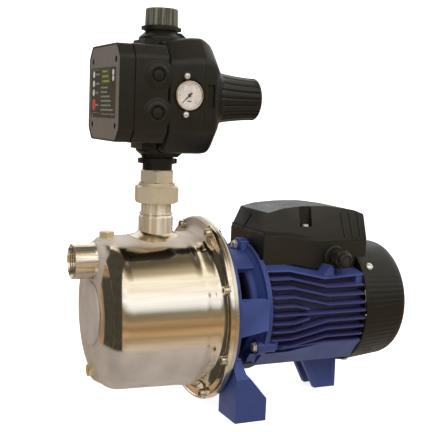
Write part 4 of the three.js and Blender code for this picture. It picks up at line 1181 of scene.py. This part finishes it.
def outlet_cap():
    base = low("outlet_cap").z
    top = high("outlet_cap").z
    profile = rounded(
        [(base, 15.3), (base, CAP_RADIUS, 0.3), (base + 1.5, CAP_RADIUS, 0.3), (top, CAP_RADIUS - 0.5, 1.6),
         (top, 12.5), (top - 0.8, 11.9), (top - 0.8, 0)],
        steps=4,
    )
    profile += [(top - 2.2, 0), (top - 2.2, 15.3)]

    def knurl(along, radius, angle):
        if radius < CAP_RADIUS - 1 or along > top - 1.5:
            return along, radius
        return along, radius - 0.25 * (0.5 + 0.5 * math.cos(26 * angle))

    shape = lathe(profile, "Z", (PORT_X, 0), 240, closed=True, shape=knurl)
    piece("outlet_cap_shell", shape, CAP_PLASTIC, "outlet_cap", stands_for=["outlet_cap"],
        sharp=45)


# ---------------------------------------------------------------- motor bracket

MOTOR_START_X = low("motor_frame").x
MOTOR_END_X = high("motor_frame").x
FLOOR_Z = low("motor_bracket").z
FIN_RADIUS = 76


def ring_arc(inner, outer, x0, x1, start, end, steps=24):
    """A piece of ring about the shaft between two angles in degrees, from the top towards -Y."""
    outline = []
    for radius, order in ((outer, 1), (inner, -1)):
        for i in range(steps + 1)[::order]:
            angle = math.radians(start + (end - start) * i / steps)
            outline.append((-radius * math.sin(angle), radius * math.cos(angle)))
    return prism(outline, "X", x0, x1)


def leg(side):
    """A front leg: a tapered block down to the floor with a foot pad."""
    shape = prism(
        [(11, FLOOR_Z), (48, FLOOR_Z), (48, -83), (24, -55), (21, -38), (11, -38)],
        "Y",
        54,
        97,
    )
    front = prism(
        [(54, -40), (83, -40), (97, -60), (97, FLOOR_Z), (54, FLOOR_Z)],
        "X",
        10,
        50,
    )
    hollow = prism([(15.5, FLOOR_Z - 1), (50, FLOOR_Z - 1), (50, -85.5), (27, -62), (15.5, -62)], "Y", 58, 91)
    whole = cut(common(shape, front), hollow)
    return whole if side > 0 else mirrored_in_y(whole)


def motor_bracket():
    back_x = MOTOR_START_X - 0.3
    front_ring = cut(rod(95, "X", 8.6, 16, steps=160), rod(60, "X", 0, 20, steps=96))
    flange_lugs = []
    for i in range(8):
        spot = middle(f"flange_screw_{i + 1}")
        flange_lugs.append(rod(7.3, "X", 8.6, 12, (spot.y * 0.96, spot.z * 0.96), 0.8, 32))
    bell = lathe(
        rounded(
            [(back_x, 48), (back_x, FIN_RADIUS, 0.8), (57.2, FIN_RADIUS, 0.8), (56.6, 72, 1), (50, 63.5, 3),
             (45.5, 61.5, 3.5), (43.8, 59.6), (46, 57), (52, 48)],
            closed=True,
        ),
        steps=160,
        closed=True,
    )
    arm = prism([(14, 21), (56, 21), (56, -12.5), (14, -20)], "Y", 66, 80)
    top_arm = ring_arc(60, 67.5, 14, 56, -41, 41)
    low_arm = ring_arc(56, FIN_RADIUS, 14, 54, 140, 220)
    band = prism([(-58, -44), (-44, -62), (44, -62), (58, -44)], "X", 45, back_x)
    web = cut(
        prism([(-96, -84), (96, -84), (88, -42), (-88, -42)], "X", 12, 21),
        rod(60, "X", 5, 30, steps=96),
    )
    top_lug = block(50, back_x, -15, 6, 62, 76.4)
    bolt_lugs = []
    for i in range(3):
        spot = middle(f"bracket_bolt_{i + 1}")
        bolt_lugs.append(rod(8.6, "X", 49.6, back_x, (spot.y, spot.z), 0.8, 40))
        heel = block(50, back_x, -8, 8, 60, 72)
        bolt_lugs.append(turned_about_shaft(heel, 120 * i))
    bolt = middle("bracket_bolt_1")
    pocket = rod(6.5, "X", 40, 50, (bolt.y, bolt.z), 0, 32)
    cast = joined(front_ring, bell, arm, mirrored_in_y(arm), cut(top_arm, pocket), band, web, leg(1),
                  leg(-1), top_lug, *flange_lugs, *bolt_lugs)
    piece("bracket_casting", cast, BLUE_PAINT, stands_for=["motor_bracket"], bevel=1.0,
        segments=3)
    # the hub, the bell's inner dish and the lower arm are painted shade, in a near-black copy of the
    # bracket's enamel
    hub = cut(rod(27, "X", 42, 59, ease=1, steps=64), rod(20.3, "X", 44, 60), rod(13, "X", 30, 65))
    dish = lathe(
        rounded([(58, 20), (58, 56), (46, 57), (43.9, 59.5), (41, 56, 3), (41, 50, 2), (50, 44, 4), (51, 20)],
                closed=True),
        steps=128,
        closed=True,
    )
    piece("bracket_bearing_seat", joined(hub, dish, low_arm), PAINTED_SHADE_BLUE)
    for i in range(3):
        node = f"bracket_bolt_{i + 1}"
        spot = middle(node)
        head = hexagon_piece(5, "X", 45.5, 49.6, (spot.y, spot.z), chamfer_end=False)
        washer = rod(6, "X", 48.6, 49.7, (spot.y, spot.z), 0.2, 32)
        piece(f"{node}_head", joined(head, washer), CHROME, stands_for=[node])


# ---------------------------------------------------------------- motor frame

ROOT_RADIUS = 62
FIN_PITCH = 9.7
FIN_CENTRE_Z = 1.5
FIN_WAVE = 10
FIN_BENDS = (92, 136)
SHORT_FIN_END_X = 111


def along_line(line, x):
    """The height of a bent line of (x, z) points at x."""
    for (x0, z0), (x1, z1) in zip(line, line[1:]):
        if x <= x1:
            return z0 + (z1 - z0) * (x - x0) / (x1 - x0)
    return line[-1][1]


def blade_y(radius, z):
    return math.sqrt(max(1.0, radius * radius - z * z))


def stations(line, step=3.0):
    """Even places along a bent line, with its bends among them."""
    places = []
    for (x0, _), (x1, _) in zip(line, line[1:]):
        count = max(1, round((x1 - x0) / step))
        places += [x0 + (x1 - x0) * i / count for i in range(count)]
    return places + [line[-1][0]]


def fin(side, line):
    """One cooling fin: a tapered blade that follows a bent line of (x, z) points."""
    loops = []
    start_x, end_x = line[0][0], line[-1][0]
    for x in stations(line):
        z = along_line(line, x)
        reach = FIN_RADIUS - 4.0 * (1 - smooth(x, start_x, start_x + 4)) - 1.5 * smooth(x, end_x - 3, end_x)
        loops.append([
            (x, side * blade_y(ROOT_RADIUS - 4, z), z - 2.1),
            (x, side * blade_y(reach - 0.8, z), z - 1.1),
            (x, side * blade_y(reach, z), z - 0.7),
            (x, side * blade_y(reach, z), z + 0.7),
            (x, side * blade_y(reach - 0.8, z), z + 1.1),
            (x, side * blade_y(ROOT_RADIUS - 4, z), z + 2.1),
        ])
    return loft(loops)


LEDGE_LINE = [(62, 49.4), (FIN_BENDS[0], 48.9), (134.6, 39.8), (187, 42)]
LOWEST_LINE = [(78, -40.4), (90, -38.6), (135.5, -34.8), (186.5, -35.6)]


def ledge(side):
    """The top fin, thickened into a ledge that slopes up under the terminal box."""
    loops = []
    for x in stations(LEDGE_LINE):
        z = along_line(LEDGE_LINE, x)
        loops.append([
            (x, side * 43, z - 3),
            (x, side * (blade_y(FIN_RADIUS, z) - 1), z - 1.8),
            (x, side * blade_y(FIN_RADIUS, z), z - 1.2),
            (x, side * blade_y(FIN_RADIUS, z + 0.8), z + 0.8),
            (x, side * (blade_y(FIN_RADIUS, z + 1.4) - 2), z + 1.6),
            (x, side * 43, z + 5.2),
        ])
    return loft(loops)


BASE_LINE = [(MOTOR_START_X, -45), (FIN_BENDS[0], -44.6), (135.5, -35.6), (MOTOR_END_X, -36.4)]


def base_skirt():
    """The frame's flat underside, whose shoulders rise along with the lowest fin."""
    loops = []
    for x in stations(BASE_LINE):
        z = along_line(BASE_LINE, x)
        wide = blade_y(FIN_RADIUS - 0.8, z)
        loops.append([
            (x, -wide, z), (x, -44, -62.5), (x, 44, -62.5), (x, wide, z), (x, wide - 8, z + 2), (x, 8 - wide,
            z + 2),
        ])
    return loft(loops)


def motor_frame():
    fins = []
    bend_1, bend_2 = FIN_BENDS
    start = MOTOR_START_X + 3.5
    end = MOTOR_END_X - 0.5
    for side in (-1, 1):
        fins.append(fin(side, [(start, FIN_CENTRE_Z), (end, FIN_CENTRE_Z)]))
        for way in (1, -1):
            for k in range(1, 5):
                left_z = FIN_CENTRE_Z + way * FIN_PITCH * k
                if k == 1:
                    fins.append(fin(side, [(start, left_z), (bend_1, left_z),
                                           (SHORT_FIN_END_X, left_z - way * 4.4)]))
                    continue
                right_z = left_z - way * FIN_WAVE
                left_start = 79 if left_z < -35 else start
                fins.append(fin(side, [(left_start, left_z), (bend_1, left_z), (bend_2, right_z), (end,
                right_z)]))
        fins.append(fin(side, LOWEST_LINE))
    # the fins get a darker copy of the frame's enamel as painted shade
    piece("frame_fins", joined(*fins), FIN_PAINTED_SHADE, sharp=24)
    # the barrel between the fin roots is painted shade, in a darker copy of the enamel
    barrel = rod(ROOT_RADIUS, "X", MOTOR_START_X, MOTOR_END_X, steps=160)
    piece("frame_barrel", barrel, ROOT_PAINTED_SHADE)
    end_ring = cut(
        rod(FIN_RADIUS - 1, "X", MOTOR_START_X, MOTOR_START_X + 3.4, ease=0.8, steps=160),
        block(0, 100, -44.6, 44.6, 52, 90),
    )
    pad = block(MOTOR_START_X, MOTOR_END_X, -33, 33, 40, 64.2)
    base = base_skirt()
    blocks = []
    for side in (-1, 1):
        for x0, x1, z0, z1 in ((178.6, MOTOR_END_X, 30.5, 41.5), (65, 78, -40.5, -27.5)):
            inner, outer = 50, blade_y(FIN_RADIUS - 1.5, max(abs(z0), abs(z1)))
            y0, y1 = sorted((side * inner, side * outer))
            blocks.append(block(x0, x1, y0, y1, z0, z1))
    lugs = []
    for i in range(3):
        spot = middle(f"bracket_bolt_{i + 1}")
        lugs.append(rod(7, "X", MOTOR_START_X, 73, (spot.y, spot.z), 0.8, 32))
    support = prism(
        rounded([(133.5, 40), (147.5, 40), (147.5, 50, 1), (143.4, 54.5, 1.5), (140.5, 51, 1)], closed=True),
        "Y",
        -62,
        -44,
    )
    piece("frame_body", joined(ledge(-1), ledge(1), end_ring, pad, base, support, *blocks, *lugs), BLUE_PAINT,
          stands_for=["motor_frame"], bevel=0.8, segments=2)


def rear_foot():
    top = high("rear_foot").z
    near, far = low("rear_foot").y, high("rear_foot").y
    outline = [(134, top), (186.5, top), (186.5, FLOOR_Z), (157.5, FLOOR_Z)]
    side = prism(outline, "Y", near, far)
    channel = block(120, 195, -8.5, 8.5, FLOOR_Z - 1, -71)
    panel = [(146, -68), (180.5, -68), (180.5, FLOOR_Z + 10), (162.5, FLOOR_Z + 10)]
    recesses = [prism(panel, "Y", near - 5, near + 1.3), prism(panel, "Y", far - 1.3, far + 5)]
    piece("rear_foot_block", cut(side, channel, *recesses), BLUE_PAINT,
        stands_for=["rear_foot"],
          bevel=0.7)


# ---------------------------------------------------------------- fan cover

COVER_START_X = low("fan_cover").x
COVER_END_X = high("fan_cover").x
COVER_RIM = 70.4


def cover_radius(x):
    return FIN_RADIUS + (COVER_RIM + 0.6 - FIN_RADIUS) * (x - COVER_START_X) / (238 - COVER_START_X)


def fan_cover():
    profile = [(COVER_START_X, cover_radius(COVER_START_X) - 2), (COVER_START_X,
        cover_radius(COVER_START_X) - 0.5)]
    for i in range(1, 27):
        x = COVER_START_X + (238 - COVER_START_X) * i / 26
        profile.append((x, cover_radius(x)))
    profile += rounded([(239, 70.8), (244.5, 69, 3), (249.8, 63.5, 3), (COVER_END_X, 56.4)], steps=6)[1:]
    profile += [(COVER_END_X, 50), (COVER_END_X - 2.2, 50), (COVER_END_X - 2.2, 56), (244, 65.4), (238, 68.4)]

    def louvre(along, radius, angle):
        """Shallow grooves along the cover below its smooth top."""
        height = radius * math.cos(angle)
        if radius < 62 or along > 249:
            return along, radius
        arc = angle if angle < math.pi else 2 * math.pi - angle
        wave = 0.5 + 0.5 * math.cos(arc * 72)
        where = (1 - smooth(height, 38, 43)) * smooth(along, 190, 192.5) * (1 - smooth(along, 243, 247))
        return along, radius - 0.3 * wave ** 4 * where

    shell = lathe(profile, "X", steps=576, closed=True, shape=louvre)
    box_room = block(180, 202.4, -44.9, 44.9, 50, 90)
    piece("fan_cover_shell", cut(shell, box_room), COVER_PLASTIC, stands_for=["fan_cover"],
          sharp=50)
    disc = rod(52, "X", COVER_END_X - 2.2, COVER_END_X, steps=128)
    slots = []
    for i in range(24):
        slot = prism(rounded([(-1.8, 20 + 6 * (i % 2), 1.8), (1.8, 20 + 6 * (i % 2), 1.8), (2.6, 48, 2),
            (-2.6, 48, 2)],
                             closed=True), "X", 240, 260)
        slots.append(turned_about_shaft(slot, 15 * i))
    piece("fan_grille", cut(disc, *slots), COVER_PLASTIC, bevel=0.4)
    for i in range(3):
        node = f"cover_screw_{i + 1}"
        angle = 49 + 120 * i
        screw = lathe(
            rounded([(74, 0), (74, 4.4), (76.6, 4.4, 0.6), (77.9, 2.6, 2), (78.1, 0)]),
            "Z",
            (middle(node).x, 0),
            40,
        )
        cross = [block(middle(node).x - a, middle(node).x + a, -b, b, 77, 80) for a, b in ((2.4, 0.45),
            (0.45, 2.4))]
        piece(f"{node}_head", turned_about_shaft(cut(screw, *cross), angle), CHROME,
            stands_for=[node])


# ---------------------------------------------------------------- terminal box

BOX_START_X = low("terminal_box").x
BOX_END_X = high("terminal_box").x
BOX_HALF_Y = high("terminal_box").y
SKIRT_Z = 52.8
LOW_SKIRT_Z = 44.8
SEAM = [(BOX_START_X, 88), (98, 86), (142, 77.5), (BOX_END_X, 79.5)]


def box_seam(drop, inset=0.0):
    """The seam line between box and lid, lowered by drop and drawn in at its ends."""
    line = []
    for i, (x, z) in enumerate(SEAM):
        if i == 0:
            x += inset
        if i == len(SEAM) - 1:
            x -= inset
        line.append((x, z - drop))
    return line


def terminal_box():
    skirt = [(BOX_START_X, SKIRT_Z), (104, SKIRT_Z), (143, LOW_SKIRT_Z), (MOTOR_END_X, LOW_SKIRT_Z),
             (MOTOR_END_X, SKIRT_Z), (BOX_END_X, SKIRT_Z)]
    box = prism([*skirt, *reversed(box_seam(0.2))], "Y", -BOX_HALF_Y, BOX_HALF_Y)
    channel = block(BOX_START_X - 1, BOX_END_X - 3, -33.3, 33.3, 35, 64.4)
    piece("terminal_box_body", cut(box, channel), BLACK_PLASTIC, stands_for=["terminal_box"],
          bevel=0.7, segments=3)
    # a near-black core in the lid's seam: painted shade
    core = prism(
        [*box_seam(4, 0.9), *reversed(box_seam(-4, 0.9))],
        "Y",
        -BOX_HALF_Y + 0.9,
        BOX_HALF_Y - 0.9,
    )
    piece("lid_seam", core, PAINTED_GAP_SHADE)


def lid_section(half, top, grow=0.0):
    """The lid's cross-section as (y, z) points: upright at its foot, leaning in to an arched top."""
    return [
        (-half, 70), (half, 70), (half, 80), (top, 116 + grow), (top - 7, 125), (7 - top, 125), (-top,
        116 + grow),
        (-half, 80),
    ]


def terminal_box_lid():
    roof = [(200, 110, 2), (186, 115, 6), (150, 119.6, 8), (118, 119.6, 8), (90, 117.2, 6), (72.5, 112.6, 2)]
    sides = prism(rounded([*box_seam(-0.2), *roof], closed=False, steps=4), "Y", -60, 60)
    across = prism(lid_section(BOX_HALF_Y, 36), "X", BOX_START_X - 2, BOX_END_X + 2)
    lid = common(sides, across)
    pockets = [block(112, 128, 33.5, 60, 96.5, 130), block(112, 128, -60, -33.5, 96.5, 130)]
    groove = prism([(-1.5, 112), (1.5, 112), (16.5, 82), (13.5, 82)], "X", BOX_START_X - 3, 71)
    piece("terminal_lid", cut(lid, *pockets, groove), BLACK_PLASTIC,
          stands_for=["terminal_box_lid"], bevel=1.1, segments=3)
    ribs = []
    for side in (-1, 1):
        for foot_x, head_x in ((172, 168.2), (183, 179.4), (194, 190.4)):
            spots = []
            for z, x in ((83, foot_x), (112, head_x)):
                lean = BOX_HALF_Y - (BOX_HALF_Y - 36) * (z - 80) / 36
                spots.append([
                    (x - 1, side * (lean - 1), z), (x - 0.8, side * (lean + 1), z),
                    (x + 0.8, side * (lean + 1), z), (x + 1, side * (lean - 1), z),
                ])
            ribs.append(loft(spots))
    piece("lid_ribs", joined(*ribs), BLACK_PLASTIC, bevel=0.3)
    screws = []
    for side in (-1, 1):
        head = rod(3.6, "Z", 96.4, 99, (120, side * 38.6), 0.8, 32)
        slot = block(117, 123, side * 38.6 - 0.5, side * 38.6 + 0.5, 98.2, 101)
        screws.append(cut(head, slot))
    piece("lid_screws", joined(*screws), CHROME)


def cable_gland():
    centre = (156, 61.2)
    boss = lathe(
        rounded([(-BOX_HALF_Y + 2, 0), (-BOX_HALF_Y + 2, 15), (-BOX_HALF_Y - 1, 14.4, 2), (-50, 13.2, 2),
        (-50, 0)]),
        "Y",
        centre,
        64,
    )
    thread = rod(8.6, "Y", -62, -49, centre, 0.3)
    piece("gland_body", joined(boss, thread), BLACK_PLASTIC, stands_for=["cable_gland"])
    nut = hexagon_piece(11.6, "Y", -69.5, -58, centre, turn=0.25, hole=7.4)
    nose = lathe(
        rounded([(-69, 4.5), (-68, 9.6, 0.5), (-72.5, 9.0, 1.5), (-75, 6.6, 1), (-75, 4.8, 0.3), (-70, 4.5)],
                steps=4),
        "Y",
        centre,
        64,
        closed=True,
    )
    seal = lathe([(-74.2, 0), (-74.2, 5.2), (-70, 5.2), (-70, 0)], "Y", centre, 32)
    piece("gland_nut_body", joined(nut, nose), BLACK_PLASTIC, stands_for=["gland_nut"],
        sharp=25)
    piece("gland_seal", seal, RUBBER)


# ---------------------------------------------------------------- stage, lights and camera


def stage():
    data = bpy.data.meshes.new("floor")
    size = 30
    data.from_pydata([(-size, -size, 0), (size, -size, 0), (size, size, 0), (-size, size, 0)], [], [(0, 1, 2,
    3)])
    floor = bpy.data.objects.new("floor", data)
    bpy.context.scene.collection.objects.link(floor)
    shader = Shader("white_floor")
    shader.colour(shader.mix(shader.noise(3, 2), (0.93, 0.93, 0.93), (0.95, 0.95, 0.95)))
    shader.set(Roughness=0.9, Emission_Color=(1, 1, 1, 1), Emission_Strength=0.8)
    data.materials.append(shader.material)
    floor.visible_glossy = False
    floor.visible_diffuse = False


STUDIO_BANDS = [
    (-90, (0.34, 0.31, 0.28)),
    (-62, (0.60, 0.55, 0.50)),
    (-50, (0.70, 0.63, 0.56)),
    (-42, (0.69, 0.61, 0.54)),
    (-35, (0.60, 0.49, 0.36)),
    (-28, (0.42, 0.31, 0.19)),
    (-21, (0.64, 0.44, 0.25)),
    (-14, (0.36, 0.235, 0.13)),
    (-7, (0.50, 0.36, 0.21)),
    (-2, (0.30, 0.24, 0.145)),
    (6, (0.27, 0.25, 0.19)),
    (12, (0.80, 0.86, 0.90)),
    (18, (1.2, 1.26, 1.36)),
    (34, (1.34, 1.34, 1.38)),
    (42, (1.2, 1.18, 1.10)),
    (54, (1.2, 1.16, 1.06)),
    (59, (0.62, 0.56, 0.42)),
    (64, (0.40, 0.35, 0.23)),
    (70, (0.13, 0.11, 0.075)),
    (78, (0.11, 0.10, 0.075)),
    (90, (0.30, 0.27, 0.22)),
]


SOFT_LIGHT = (0.62, 0.62)  # the strength of the even light from straight below and from straight above
BACKDROP = 1.6


def studio_world():
    """White to the camera, and a soft banded studio to reflections and to the light on the object."""
    world = bpy.data.worlds.new("studio")
    bpy.context.scene.world = world
    world.use_nodes = True
    tree = world.node_tree
    nodes = tree.nodes
    nodes.clear()
    output = nodes.new("ShaderNodeOutputWorld")
    coordinates = nodes.new("ShaderNodeTexCoord")
    split = nodes.new("ShaderNodeSeparateXYZ")
    tree.links.new(coordinates.outputs["Generated"], split.inputs[0])
    to_ramp = nodes.new("ShaderNodeMapRange")
    to_ramp.inputs["From Min"].default_value = -1
    tree.links.new(split.outputs["Z"], to_ramp.inputs["Value"])
    ramp = nodes.new("ShaderNodeValToRGB")
    tree.links.new(to_ramp.outputs["Result"], ramp.inputs[0])
    elements = ramp.color_ramp.elements
    while len(elements) > 1:
        elements.remove(elements[-1])
    for i, (degrees, colour) in enumerate(STUDIO_BANDS):
        position = (math.sin(math.radians(degrees)) + 1) / 2
        element = elements[0] if i == 0 else elements.new(position)
        element.position = position
        element.color = (*colour, 1)
    level = nodes.new("ShaderNodeCombineXYZ")
    tree.links.new(split.outputs["X"], level.inputs["X"])
    tree.links.new(split.outputs["Y"], level.inputs["Y"])
    heading = nodes.new("ShaderNodeVectorMath")
    heading.operation = "NORMALIZE"
    tree.links.new(level.outputs[0], heading.inputs[0])
    corner = nodes.new("ShaderNodeVectorMath")
    corner.operation = "DOT_PRODUCT"
    corner.inputs[1].default_value = (-0.946, 0.326, 0)
    tree.links.new(heading.outputs[0], corner.inputs[0])
    dark_side = nodes.new("ShaderNodeMapRange")
    dark_side.interpolation_type = "SMOOTHSTEP"
    dark_side.inputs["From Min"].default_value = 0.74
    dark_side.inputs["From Max"].default_value = 0.81
    tree.links.new(corner.outputs["Value"], dark_side.inputs["Value"])
    shaded = nodes.new("ShaderNodeMix")
    shaded.data_type = "RGBA"
    tree.links.new(dark_side.outputs["Result"], shaded.inputs[0])
    tree.links.new(ramp.outputs["Color"], shaded.inputs[6])
    shaded.inputs[7].default_value = (0.07, 0.065, 0.055, 1)
    soft = nodes.new("ShaderNodeMapRange")
    soft.inputs["From Min"].default_value = -1
    soft.inputs["To Min"].default_value = SOFT_LIGHT[0]
    soft.inputs["To Max"].default_value = SOFT_LIGHT[1]
    tree.links.new(split.outputs["Z"], soft.inputs["Value"])
    backgrounds = []
    for colour, strength in ((None, soft.outputs[0]), (shaded.outputs[2], None), (None, None)):
        background = nodes.new("ShaderNodeBackground")
        background.inputs["Color"].default_value = (1, 0.99, 0.97, 1)
        background.inputs["Strength"].default_value = 1 if colour else BACKDROP
        if colour:
            tree.links.new(colour, background.inputs["Color"])
        if strength:
            tree.links.new(strength, background.inputs["Strength"])
        backgrounds.append(background.outputs[0])
    path = nodes.new("ShaderNodeLightPath")
    result = backgrounds[0]
    for ray, background in (("Is Glossy Ray", backgrounds[1]), ("Is Camera Ray", backgrounds[2])):
        choose = nodes.new("ShaderNodeMixShader")
        tree.links.new(path.outputs[ray], choose.inputs[0])
        tree.links.new(result, choose.inputs[1])
        tree.links.new(background, choose.inputs[2])
        result = choose.outputs[0]
    tree.links.new(result, output.inputs["Surface"])


def area_light(name, place, target, size, watts, colour):
    data = bpy.data.lights.new(name, "AREA")
    data.shape = "RECTANGLE"
    data.size, data.size_y = size
    data.energy = watts
    data.color = colour
    lamp = bpy.data.objects.new(name, data)
    bpy.context.scene.collection.objects.link(lamp)
    lamp.location = place
    direction = Vector(target) - Vector(place)
    lamp.rotation_euler = direction.to_track_quat("-Z", "Y").to_euler()
    lamp.visible_glossy = False


def lights():
    target = (0, 0, 0.18)
    area_light("key", (0.5, -1.3, 1.5), target, (1.2, 0.9), 11, (1, 0.98, 0.95))
    area_light("fill", (-1.6, -1.0, 0.7), target, (1.0, 1.0), 5, (1, 0.97, 0.93))
    area_light("top", (0, 0.2, 1.9), target, (1.4, 1.4), 8, (1, 1, 1))


AZIMUTH = math.radians(-24.4)
ELEVATION = math.radians(6.8)
ROLL = math.radians(2.21)
LENS = 71.25
CAMERA_PLACE = at(-381.3, -891.9, 222.0)


def camera():
    bpy.context.scene.view_settings.view_transform = "Standard"
    back = Vector((
        math.sin(AZIMUTH) * math.cos(ELEVATION),
        -math.cos(AZIMUTH) * math.cos(ELEVATION),
        math.sin(ELEVATION),
    ))
    level = Vector((math.cos(AZIMUTH), math.sin(AZIMUTH), 0))
    upright = back.cross(level)
    right = level * math.cos(ROLL) + upright * math.sin(ROLL)
    up = upright * math.cos(ROLL) - level * math.sin(ROLL)
    data = bpy.data.cameras.new("camera")
    data.lens = LENS
    data.sensor_width = 36
    data.clip_end = 100
    thing = bpy.data.objects.new("camera", data)
    bpy.context.scene.collection.objects.link(thing)
    turn = Matrix((right, up, back)).transposed().to_4x4()
    thing.matrix_world = Matrix.Translation(CAMERA_PLACE) @ turn
    bpy.context.scene.camera = thing


camera()
stage()
studio_world()
lights()

pump_casing()
sockets()
front_plate()
brass_plugs()
flange()
flange_screws()
union()
valve_body()
drum()
tail()
electronics_box()
control_panel()
reset_button()
gauge()
gauge_screws()
gauge_pointer()
outlet_cap()
motor_bracket()
motor_frame()
rear_foot()
fan_cover()
terminal_box()
terminal_box_lid()
cable_gland()

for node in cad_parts.values():
    for material_slot in node.material_slots:
        plain_name = material_slot.material.name.split(".")[0] if material_slot.material else ""
        if plain_name in CARRIED_OVER:
            material_slot.material = CARRIED_OVER[plain_name]
